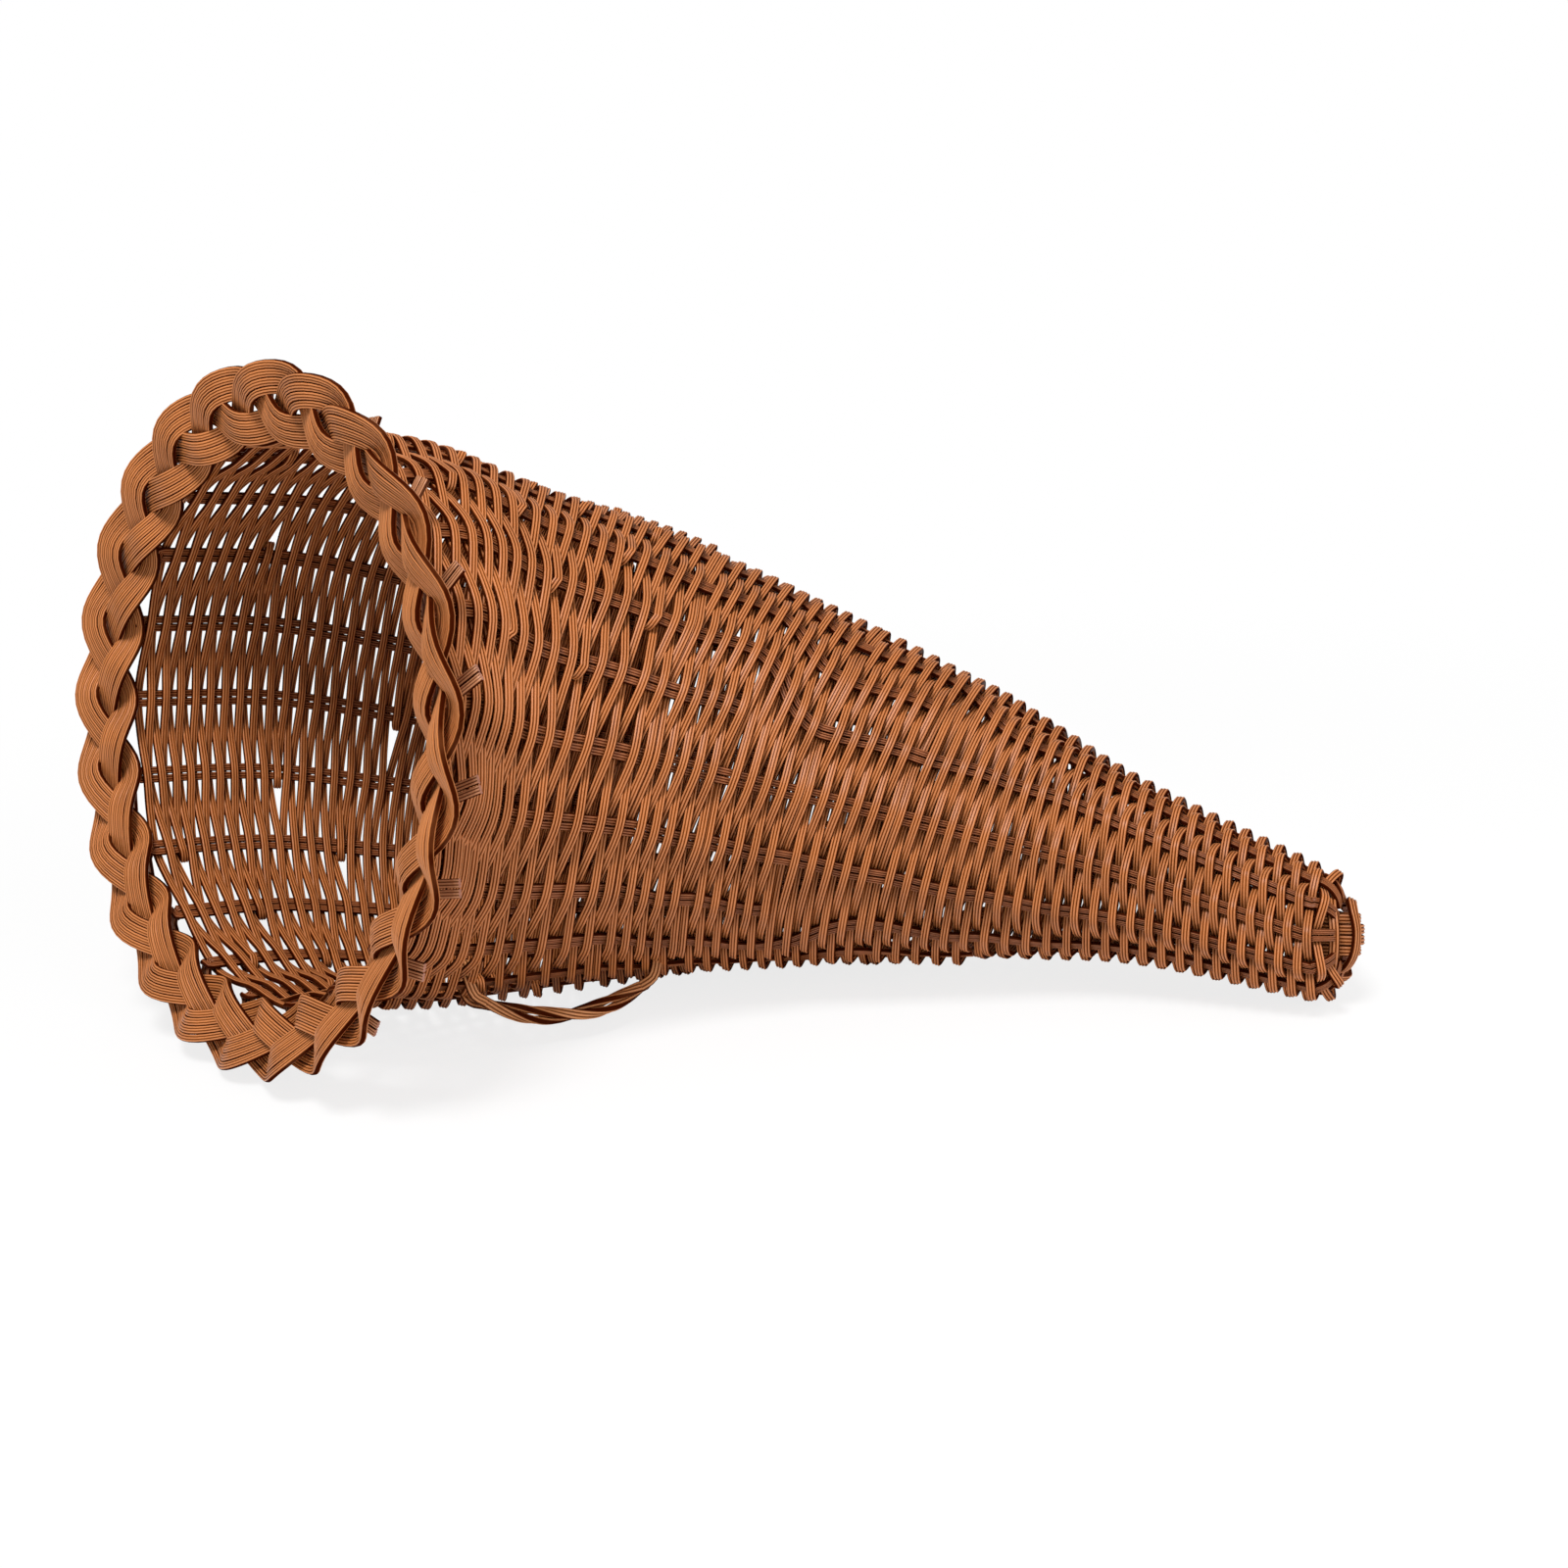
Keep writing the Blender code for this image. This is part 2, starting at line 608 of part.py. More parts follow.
def solid_points():
    """All triangles of the parts, in the horn's frame, as an array of three corners each."""
    bpy.context.view_layer.update()
    graph = bpy.context.evaluated_depsgraph_get()
    found = []
    for solid in basket.objects:
        if solid.type == "EMPTY":
            continue
        evaluated = solid.evaluated_get(graph)
        mesh = evaluated.to_mesh()
        mesh.calc_loop_triangles()
        corners = np.empty(len(mesh.vertices) * 3, np.float32)
        mesh.vertices.foreach_get("co", corners)
        index = np.empty(len(mesh.loop_triangles) * 3, np.int32)
        mesh.loop_triangles.foreach_get("vertices", index)
        place = np.array(evaluated.matrix_world)
        world = corners.reshape(-1, 3) @ place[:3, :3].T + place[:3, 3]
        found.append(world[index.reshape(-1, 3)])
        evaluated.to_mesh_clear()
    return np.concatenate(found)


def centre_of_mass(triangles):
    volumes = np.linalg.det(triangles)
    return (volumes[:, None] * triangles.sum(axis=1) / 4).sum(axis=0) / volumes.sum()


def rest_turn(triangles):
    """The turn in which the horn rests: rolled and tipped until its centre of mass can't sink."""
    corners = np.unique(triangles.reshape(-1, 3), axis=0) - centre_of_mass(triangles)
    best = np.zeros(2)
    step = FIRST_TURN_STEP
    while step > LAST_TURN_STEP:
        moves = [(roll, tip) for roll in (-1, 0, 1) for tip in (-1, 0, 1)]
        tries = [best + step * np.array(move) for move in moves]
        turns = [Matrix.Rotation(t[0], 3, "X") @ Matrix.Rotation(t[1], 3, "Y") for t in tries]
        heights = [-(corners @ np.array(turn[2])).min() for turn in turns]
        lowest = int(np.argmin(heights))
        if heights[lowest] < heights[moves.index((0, 0))]:
            best = tries[lowest]
        else:
            step /= 2
    return Matrix.Rotation(best[0], 4, "X") @ Matrix.Rotation(best[1], 4, "Y")


def lay_down(root):
    """Turns the horn to its rest, with the middle of its box at the origin and its base at z = 0."""
    triangles = solid_points()
    turn = rest_turn(triangles)
    corners = triangles.reshape(-1, 3) @ np.array(turn.to_3x3()).T
    low, high = corners.min(axis=0), corners.max(axis=0)
    base = Matrix.Translation((-(low[0] + high[0]) / 2, -(low[1] + high[1]) / 2, -low[2] - FLAT_DEPTH))
    root.matrix_world = base @ turn
    bpy.context.view_layer.update()
    return high - low


def flatten_base(size):
    """Cuts the strands that touch the table flat at z = 0."""
    block = bmesh.new()
    bmesh.ops.create_cube(block, size=1.0)
    thick = FLAT_DEPTH + CUT_OVERRUN
    bmesh.ops.scale(block, vec=(2 * size[0], 2 * size[1], thick), verts=block.verts)
    bmesh.ops.translate(block, vec=(0, 0, -thick / 2), verts=block.verts)
    mesh = bpy.data.meshes.new("floor_cutter")
    block.to_mesh(mesh)
    block.free()
    cutter = bpy.data.objects.new("floor_cutter", mesh)
    cutter.hide_render = True
    cutter.display_type = "WIRE"
    cutters.objects.link(cutter)
    for solid in basket.objects:
        if solid.type != "MESH":
            continue
        heights = [(solid.matrix_world @ vertex.co).z for vertex in solid.data.vertices]
        if min(heights) < 0:
            cut = solid.modifiers.new("flat_base", "BOOLEAN")
            cut.object = cutter
            print("flat base on", solid.name)


for old in list(bpy.data.objects):
    bpy.data.objects.remove(old)
basket = bpy.data.collections.new("cornucopia_basket")
cutters = bpy.data.collections.new("cutters")
bpy.context.scene.collection.children.link(basket)
bpy.context.scene.collection.children.link(cutters)

horn = bpy.data.objects.new("horn", None)
basket.objects.link(horn)
stakes = [Stake(number) for number in range(STAKES)]
weave = Weave(stakes)
build_stakes(stakes, horn)
build_weavers(weave, horn)
build_border(horn)
build_tail(horn)
loop_anchors = build_loop(weave, stakes[LOOP_STAKE], horn)
flatten_base(lay_down(horn))
for anchor in loop_anchors:
    print("loop anchor", [round(value, 5) for value in horn.matrix_world @ Matrix.Translation(anchor).translation])
print("horn matrix", [[round(value, 6) for value in row] for row in horn.matrix_world])
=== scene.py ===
"""Looks of the cornucopia basket: every strand of its weave, its plaited border, its tail and its hanging
loop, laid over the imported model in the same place.

The strands are drawn in the horn's own frame: the origin is the centre of the mouth, +X runs towards the
tail, -Y is the hollow side of the bend and +Z is up. HornShape.laid_down then turns them to the way that
the basket rests on the floor."""

import logging
import math
from dataclasses import dataclass
from enum import Enum

import bpy
import numpy as np
from mathutils import Matrix, Vector


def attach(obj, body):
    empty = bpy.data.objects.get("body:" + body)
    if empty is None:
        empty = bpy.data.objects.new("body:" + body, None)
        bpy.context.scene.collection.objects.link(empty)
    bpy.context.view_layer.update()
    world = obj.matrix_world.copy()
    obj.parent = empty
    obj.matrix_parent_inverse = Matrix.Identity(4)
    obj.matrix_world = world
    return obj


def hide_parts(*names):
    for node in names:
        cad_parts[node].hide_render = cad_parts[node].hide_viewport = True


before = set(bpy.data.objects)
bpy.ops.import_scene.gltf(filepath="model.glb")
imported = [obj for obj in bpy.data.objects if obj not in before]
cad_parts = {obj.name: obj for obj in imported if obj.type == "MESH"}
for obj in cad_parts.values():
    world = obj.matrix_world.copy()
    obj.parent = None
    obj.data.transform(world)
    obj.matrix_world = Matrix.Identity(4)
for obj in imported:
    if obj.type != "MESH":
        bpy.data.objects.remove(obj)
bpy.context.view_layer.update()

MM = 0.001

Array = np.ndarray
Colour = tuple[float, float, float, float]
Triple = tuple[float, float, float]
log = logging.getLogger("cornucopia")


class Body(Enum):
    """The two bodies of the basket that pieces ride on."""

    BASKET = "basket"
    LOOP = "hanging_loop"


def unit(vectors: Array) -> Array:
    """Vectors of length one."""
    return vectors / np.linalg.norm(vectors, axis=-1, keepdims=True)


def smooth_step(x: Array) -> Array:
    """0 up to x = 0, 1 from x = 1, and 3 x^2 - 2 x^3 between."""
    x = np.clip(x, 0.0, 1.0)
    return x * x * (3 - 2 * x)


def cubic(t: Array, start: Array, slope_in: Array, end: Array, slope_out: Array) -> Array:
    """The cubic from start to end with these slopes at its two ends.

    Args:
        t: The share of the way, 0 at the start and 1 at the end.
        start: The value at the start.
        slope_in: The slope at the start.
        end: The value at the end.
        slope_out: The slope at the end.

    Returns:
        (1 + 2t)(1 - t)^2 start + t (1 - t)^2 slope_in + t^2 (3 - 2t) end + t^2 (t - 1) slope_out.
    """
    return ((1 + 2 * t) * (1 - t) ** 2 * start + t * (1 - t) ** 2 * slope_in
            + t * t * (3 - 2 * t) * end + t * t * (t - 1) * slope_out)


@dataclass(frozen=True)
class HornShape:
    """The horn's wall, as rings from the mouth to the tail, and its stakes' places on it. Angles run round
    a ring from the hollow side of the bend, 0, over the top, 90, to the far side, 180."""

    reach: float = 262.0 * MM
    bow: float = 38.0 * MM
    drop: float = 51.5 * MM
    mouth_radius: float = 73.0 * MM
    wall_depth: float = 2.9 * MM
    stations: tuple[float, ...] = (0.0, 0.12, 0.26, 0.42, 0.58, 0.74, 0.88, 1.0)
    reach_shares: tuple[float, ...] = (0.0, 0.087, 0.201, 0.343, 0.511, 0.691, 0.838, 1.0)
    bow_shares: tuple[float, ...] = (0.0, 0.487, 0.845, 1.0, 0.942, 0.689, 0.371, -0.076)
    drop_shares: tuple[float, ...] = (0.0, 0.03, -0.093, -0.184, -0.332, -0.53, -0.717, -1.0)
    radius_shares: tuple[float, ...] = (1.0, 1.01, 0.962, 0.866, 0.683, 0.502, 0.33, 0.238)
    yaw_degrees: tuple[float, ...] = (45.0, 33.0, 16.0, 3.0, -8.0, -15.0, -22.0, -26.0)
    lean_degrees: tuple[float, ...] = (-1.5, 5.0, 12.0, 16.0, 18.0, 17.0, 6.0, 0.0)
    stakes: int = 21
    first_angle: float = math.radians(2.0)
    pair_width: float = 4.5 * MM
    tail_pair_width: float = 3.0 * MM
    stops: tuple[tuple[int, int, float], ...] = (
        (5, 15, 0.45), (1, 11, 0.53), (9, 19, 0.61), (3, 13, 0.69), (7, 17, 0.77))
    closing_share: float = 0.07
    bend_end: float = 0.43
    rim_to_weave: float = 5.7 * MM
    cap_share: float = 0.045
    cap_depth: float = 6.0 * MM
    cap_radius: float = 7.4 * MM
    rounds: int = 4
    slope_step: float = 0.004
    angle_step: float = 0.01
    mouth_place: Triple = (-101.892 * MM, -15.976 * MM, 86.223 * MM)
    rest_roll: float = math.radians(-16.7413)
    rest_tip: float = math.radians(4.5000)

    def through(self, values: tuple[float, ...], at: Array) -> Array:
        """A smooth curve through one value at each station: cubic between stations, with the slopes that
        their neighbours give.

        Args:
            values: One value for each station.
            at: Shares of the horn where the curve is read.

        Returns:
            The curve's value at each share.
        """
        shares = np.array(self.stations)
        heights = np.array(values, float)
        slopes = np.gradient(heights, shares)
        at = np.clip(at, shares[0], shares[-1])
        i = np.clip(np.searchsorted(shares, at, side="right") - 1, 0, len(shares) - 2)
        span = shares[i + 1] - shares[i]
        return cubic((at - shares[i]) / span, heights[i], span * slopes[i], heights[i + 1],
                     span * slopes[i + 1])

    def ring(self, share: Array) -> tuple[Array, Array, Array, Array]:
        """One ring of the horn.

        Args:
            share: Shares of the horn, 0 at the mouth and 1 at the tail.

        Returns:
            The centre, the normal towards the mouth, and the directions of angle 0 and angle 90.
        """
        centre = np.stack([self.reach * self.through(self.reach_shares, share),
                           self.bow * self.through(self.bow_shares, share),
                           self.drop * self.through(self.drop_shares, share)], -1)
        yaw = np.radians(self.through(self.yaw_degrees, share))
        lean = np.radians(self.through(self.lean_degrees, share))
        flat = np.cos(lean)
        mouthward = np.stack([-np.cos(yaw) * flat, -np.sin(yaw) * flat, np.sin(lean)], -1)
        near = np.stack([np.sin(yaw), -np.cos(yaw), np.zeros_like(yaw)], -1)
        return centre, mouthward, near, np.cross(mouthward, near)

    def cap_turn(self, share: Array) -> Array:
        """How far the wall has turned in over the tail's end: 0 up to share 1, then up to a right angle."""
        return np.pi / 2 * np.clip((np.asarray(share, float) - 1) / self.cap_share, 0, 1)

    def outward(self, share: Array, angle: Array) -> Array:
        """The direction straight out of the wall: cos(turn) side - sin(turn) mouthward. On the rounded end
        of the tail it turns from sideways to tailwards.

        Args:
            share: Shares of the horn.
            angle: Angles round the ring.

        Returns:
            Directions of length one.
        """
        _, mouthward, near, up = self.ring(share)
        turn = self.cap_turn(share)[..., None]
        side = np.cos(angle)[..., None] * near + np.sin(angle)[..., None] * up
        return np.cos(turn) * side - np.sin(turn) * mouthward

    def middle_radius(self, share: Array) -> Array:
        """The radius of the stakes' middle surface."""
        return self.mouth_radius * self.through(self.radius_shares, share) - self.wall_depth

    def wall(self, share: Array, angle: Array, lift: Array) -> Array:
        """Points of the wall: centre + radius x side + lift x out. Past share 1 the radius shrinks as
        cos(turn) and the centre moves on as sin(turn).

        Args:
            share: Shares of the horn.
            angle: Angles round the ring.
            lift: How far outside the stakes' middle surface the points lie.

        Returns:
            The points, in the horn's frame.
        """
        centre, mouthward, near, up = self.ring(share)
        turn = self.cap_turn(share)
        radius = self.cap_radius + (self.middle_radius(share) - self.cap_radius) * np.cos(turn)
        side = np.cos(angle)[..., None] * near + np.sin(angle)[..., None] * up
        lift = np.broadcast_to(np.asarray(lift, float), np.shape(radius))
        return (centre + radius[..., None] * side - self.cap_depth * np.sin(turn)[..., None] * mouthward
                + lift[..., None] * self.outward(share, angle))

    def lengthwise(self, share: Array, angle: Array) -> Array:
        """The direction along the wall towards the tail, from a short step each way."""
        ahead = self.wall(share + self.slope_step, angle, 0.0)
        return unit(ahead - self.wall(share - self.slope_step, angle, 0.0))

    def rim_share(self, angle: Array) -> Array:
        """The share where the weave begins behind the mouth's plane, found by a few steps of scaling.

        Args:
            angle: Angles round the mouth.

        Returns:
            The share at each angle.
        """
        share = np.full_like(angle, self.bend_end / 2)
        centre, mouthward, _, _ = self.ring(np.zeros(()))
        for _ in range(self.rounds):
            depth = (centre - self.wall(share, angle, 0.0)) @ mouthward
            share = share * self.rim_to_weave / depth
        return share

    def width_of_pair(self, share: Array) -> Array:
        """The width of a stake's pair of strands: it changes from the mouth to the tail as share^2."""
        return self.pair_width + (self.tail_pair_width - self.pair_width) * share ** 2

    def stop_of(self) -> Array:
        """The share at which each stake stops.

        Returns:
            One share for each stake, infinity for one that reaches the tail.
        """
        shares = np.full(self.stakes, np.inf)
        for one, other, share in self.stops:
            shares[[one, other]] = share
        return shares

    def stake_angles(self, share: Array) -> Array:
        """The angle of every stake. A stake's room shrinks as 1 - smooth_step past its stop, and the
        others share what it leaves.

        Args:
            share: Shares of the horn.

        Returns:
            Angles, with the stakes on a new last axis.
        """
        share = np.asarray(share, float)
        room = 1 - smooth_step((share[..., None] - self.stop_of()) / self.closing_share)
        place = np.cumsum(room, axis=-1) - room / 2
        total = room.sum(axis=-1, keepdims=True)
        return self.first_angle + 2 * np.pi * (place - place[..., :1]) / total

    def laid_down(self, points: Array) -> Array:
        """Points of the horn's frame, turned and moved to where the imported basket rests."""
        turn = Matrix.Rotation(self.rest_roll, 3, "X") @ Matrix.Rotation(self.rest_tip, 3, "Y")
        return points @ np.array(turn).T + np.array(self.mouth_place)

    def turned(self, directions: Array) -> Array:
        """Directions of the horn's frame, turned as the basket rests."""
        return self.laid_down(directions) - np.array(self.mouth_place)


class Wiring:
    """Adds nodes to one node tree and feeds their sockets. A method that adds a node gives back the socket
    that carries its result."""

    def __init__(self, tree: bpy.types.NodeTree) -> None:
        """Keeps the tree's nodes and links."""
        self.nodes, self.links = tree.nodes, tree.links

    def add(self, kind: str, output: object = 0, **values: object) -> bpy.types.NodeSocket:
        """One node of any kind.

        Args:
            kind: The node's type.
            output: Name or number of the output wanted.
            values: A socket or a plain value for each input, by the input's name with _ for a space.

        Returns:
            The wanted output.
        """
        node = self.nodes.new(kind)
        for name, value in values.items():
            self.feed(node.inputs[name.replace("_", " ")], value)
        return node.outputs[output]

    def feed(self, socket: bpy.types.NodeSocket, value: object) -> None:
        """Links a socket to another one, or sets it to a plain value.

        Args:
            socket: The socket to feed.
            value: A socket, a plain value, or None to leave the socket as it is.
        """
        if isinstance(value, bpy.types.NodeSocket):
            self.links.new(value, socket)
        elif value is not None:
            socket.default_value = value

    def math(self, operation: str, first: object, second: object = None, clamp: bool = False
             ) -> bpy.types.NodeSocket:
        """One arithmetic node.

        Args:
            operation: The node's operation.
            first: The first socket or number.
            second: The second socket or number, where the operation has one.
            clamp: Whether the result is kept between 0 and 1.

        Returns:
            The result.
        """
        node = self.nodes.new("ShaderNodeMath")
        node.operation = operation
        node.use_clamp = clamp
        self.feed(node.inputs[0], first)
        self.feed(node.inputs[1], second)
        return node.outputs[0]

    def mixed(self, factor: object, first: object, second: object) -> bpy.types.NodeSocket:
        """Two colours mixed.

        Args:
            factor: The second colour's share.
            first: The first colour.
            second: The second colour.

        Returns:
            The mixed colour.
        """
        node = self.nodes.new("ShaderNodeMix")
        node.data_type = "RGBA"
        for name, value in zip(("Factor", "A", "B"), (factor, first, second)):
            self.feed(node.inputs[name], value)
        return node.outputs["Result"]

    def blended(self, factor: object, first: object, second: object) -> bpy.types.NodeSocket:
        """Two shaders mixed.

        Args:
            factor: The second shader's share.
            first: The first shader.
            second: The second shader.

        Returns:
            The mixed shader.
        """
        node = self.nodes.new("ShaderNodeMixShader")
        for socket, value in zip(node.inputs, (factor, first, second)):
            self.feed(socket, value)
        return node.outputs[0]


class Mesh:
    """Faces gathered from any number of strands, then put into one Blender mesh."""

    def __init__(self) -> None:
        """Starts with no faces."""
        self.points: list[Array] = []
        self.quads: list[Array] = []
        self.caps: list[Array] = []
        self.maps: list[Array] = []
        self.count = 0

    def add_strand(self, rings: Array, places: Array, closed: bool) -> None:
        """Adds one tube. Its corners run round it so that each face points outwards.

        Args:
            rings: Corners, as rings x sides x 3.
            places: Map coordinates of the same corners, as rings x sides x 2.
            closed: Whether the last ring joins the first. An open strand gets a cap at each end.
        """
        rows, sides = rings.shape[:2]
        index = np.arange(rows * sides).reshape(rows, sides) + self.count
        following = np.roll(index, -1, axis=0) if closed else index[1:]
        first = index if closed else index[:-1]
        quads = np.stack([first, following, np.roll(following, -1, axis=1), np.roll(first, -1, axis=1)], -1)
        self.points.append(rings.reshape(-1, 3))
        self.maps.append(places.reshape(-1, 2))
        self.quads.append(quads.reshape(-1, 4))
        if not closed:
            self.caps += [index[0], index[-1][::-1]]
        self.count += rows * sides

    def build(self, name: str) -> bpy.types.Mesh:
        """Puts the gathered faces into a Blender mesh. What would sink into the floor is pressed flat on
        it.

        Args:
            name: The mesh's name.

        Returns:
            The mesh, with material 0 on the sides and 1 on the cut ends.
        """
        points = np.concatenate(self.points).astype(np.float32)
        points[:, 2] = np.maximum(points[:, 2], 0.0)
        places = np.concatenate(self.maps).astype(np.float32)
        quads = np.concatenate(self.quads)
        corners = np.concatenate([quads.ravel()] + self.caps).astype(np.int32)
        sizes = np.array([4] * len(quads) + [len(cap) for cap in self.caps], np.int32)
        starts = np.concatenate([[0], np.cumsum(sizes)[:-1]]).astype(np.int32)
        mesh = bpy.data.meshes.new(name)
        mesh.vertices.add(len(points))
        mesh.vertices.foreach_set("co", points.ravel())
        mesh.loops.add(len(corners))
        mesh.loops.foreach_set("vertex_index", corners)
        mesh.polygons.add(len(sizes))
        mesh.polygons.foreach_set("loop_start", starts)
        mesh.polygons.foreach_set("loop_total", sizes)
        mesh.polygons.foreach_set("use_smooth", sizes == 4)
        mesh.polygons.foreach_set("material_index", (sizes != 4).astype(np.int32))
        layer = mesh.uv_layers.new(name="strand")
        layer.data.foreach_set("uv", places[corners].ravel())
        mesh.update(calc_edges=True)
        mesh.validate()
        return mesh


@dataclass(frozen=True)
class RibbedSection:
    """The section of a ribbed strand: an oval with three ribs on each flat side."""

    groove_depth: float = 0.3
    across: tuple[float, ...] = (1.0, 0.94, 0.67, 0.333, 0.0, -0.333, -0.67, -0.94)
    heights: tuple[float, ...] = (0.0, 0.5, 0.94, 1.0, 1.0, 1.0, 0.94, 0.5)
    grooves: tuple[int, ...] = (3, 5)

    def corners(self) -> Array:
        """The section's corners: the upper half from the fields, then the same turned by half a turn.

        Returns:
            The corners, as shares of half the width and half the thickness.
        """
        heights = np.array(self.heights)
        heights[list(self.grooves)] -= self.groove_depth
        upper = np.stack([self.across, heights], 1)
        return np.concatenate([upper, -upper])


@dataclass(frozen=True)
class Path:
    """A smooth way for a strand: its points, the way that its flat side faces, and its width."""

    points: Array
    faces: Array
    widths: Array

    def finer(self, steps: int) -> "Path":
        """A curve through the points: on each span, the cubic whose slope at a point is half the step
        from the point before it to the point after it.

        Args:
            steps: How many pieces each span is cut into.

        Returns:
            The finer path.
        """
        values = np.concatenate([self.points, self.faces, self.widths[:, None]], axis=1)
        slopes = np.gradient(values, axis=0)
        t = (np.arange(steps) / steps)[None, :, None]
        curve = cubic(t, values[:-1, None], slopes[:-1, None], values[1:, None], slopes[1:, None])
        curve = np.concatenate([curve.reshape(-1, values.shape[1]), values[-1:]])
        return Path(curve[:, :3], curve[:, 3:6], curve[:, 6])

    def swept(self, section: Array, thickness: float, aside: float = 0.0, closed: bool = False
              ) -> tuple[Array, Array]:
        """Carries a section along the path: corner = point + half width x across + half thickness x out.

        Args:
            section: Corners of the section, as shares of half the width and half the thickness.
            thickness: The strand's thickness.
            aside: How far beside the path the strand's middle lies.
            closed: Whether the last point joins the first.

        Returns:
            Corners as rings x sides x 3, and their places on the strand: across it from 0 to 1, and the
            length along it.
        """
        if closed:
            tangent = unit(np.roll(self.points, -1, axis=0) - np.roll(self.points, 1, axis=0))
        else:
            tangent = unit(np.gradient(self.points, axis=0))
        across = unit(np.cross(tangent, self.faces))
        out = np.cross(across, tangent)
        middle = self.points + aside * across
        half = (self.widths / 2)[:, None, None]
        rings = (middle[:, None] + half * section[None, :, :1] * across[:, None]
                 + thickness / 2 * section[None, :, 1:] * out[:, None])
        steps = np.linalg.norm(np.diff(middle, axis=0), axis=1)
        along = np.concatenate([[0.0], np.cumsum(steps)])
        share = np.broadcast_to(section[None, :, 0] / 2 + 0.5, rings.shape[:2])
        length = np.broadcast_to(along[:, None], rings.shape[:2])
        return rings, np.stack([share, length], -1)


@dataclass(frozen=True)
class StrandFinish:
    """Ribbed plastic rattan: tan on the ribs, with painted shade in dark red-brown in the grooves between
    them and along the strand's sides, painted highlights in pale speckles along the rib crests, and finely
    speckled."""

    name: str
    rib: Colour = (0.57, 0.165, 0.032, 1.0)
    # Painted shade: groove_shade is the dark red-brown put into the grooves and along the sides of every
    # strand, where shade falls.
    groove_shade: Colour = (0.045, 0.006, 0.001, 1.0)
    # Painted highlight: this is the pale pinkish colour speckled along the rib crests; the next field sets
    # how much of it is used.
    crest_highlight: Colour = (0.68, 0.33, 0.17, 1.0)
    highlight_amount: float = 0.5
    pale_end: float = 0.0
    roughness: float = 0.42
    bump: float = 0.5
    bump_depth: float = 0.06 * MM

    def build(self) -> bpy.types.Material:
        """Makes the material: the ribbed plastic group's colour, roughness, shine and height go into one
        shader.

        Returns:
            The material.
        """
        material = bpy.data.materials.new(self.name)
        material.use_nodes = True
        tree = material.node_tree
        shader = tree.nodes["Principled BSDF"]
        group = tree.nodes.new("ShaderNodeGroup")
        group.node_tree = ribbed_plastic_group(RibbedLook())
        wires = Wiring(tree)
        for name, value in (("Rib", self.rib), ("Groove Shade", self.groove_shade), ("Crest Highlight", self.crest_highlight),
                            ("Highlight Amount", self.highlight_amount), ("Pale End", self.pale_end),
                            ("Roughness", self.roughness)):
            wires.feed(group.inputs[name], value)
        normal = wires.add("ShaderNodeBump", "Normal", Strength=self.bump, Distance=self.bump_depth,
                           Height=group.outputs["Height"])
        for name, result in (("Base Color", "Color"), ("Roughness", "Roughness"),
                             ("Specular IOR Level", "Shine")):
            wires.feed(shader.inputs[name], group.outputs[result])
        wires.feed(shader.inputs["Normal"], normal)
        return material


@dataclass(frozen=True)
class CutEndFinish:
    """The cut end of a strand: pale pinkish plastic, rough from the cutters."""

    name: str = "cut_end"
    pale: Colour = (0.56, 0.27, 0.19, 1.0)
    dark: Colour = (0.30, 0.10, 0.05, 1.0)
    grain: float = 2600.0
    roughness: float = 0.6

    def build(self) -> bpy.types.Material:
        """Makes the material: two tones mixed by a fine noise.

        Returns:
            The material.
        """
        material = bpy.data.materials.new(self.name)
        material.use_nodes = True
        shader = material.node_tree.nodes["Principled BSDF"]
        wires = Wiring(material.node_tree)
        noise = wires.add("ShaderNodeTexNoise", "Fac", Scale=self.grain,
                          Vector=wires.add("ShaderNodeTexCoord", "Object"))
        wires.feed(shader.inputs["Base Color"], wires.mixed(noise, self.dark, self.pale))
        wires.feed(shader.inputs["Roughness"], self.roughness)
        return material


@dataclass(frozen=True)
class RibbedLook:
    """The measures of the ribbed plastic group."""

    ribs: int = 3
    crest_power: float = 0.65
    # Painted shade: edge_power and side_shade set how the sides of a strand are darkened towards the groove
    # shade colour.
    edge_power: float = 10.0
    side_shade: float = 0.8
    tone_scale: float = 90.0
    tone_share: float = 0.5
    speckle_scale: float = 2400.0
    detail: float = 2.0
    # Painted highlight: these two shape the pale speckles on the rib crests.
    crest_highlight_power: float = 3.0
    crest_highlight_speckle: float = 1.7
    pale_share: float = 0.8
    rough_share: float = 0.3
    shine: float = 0.3


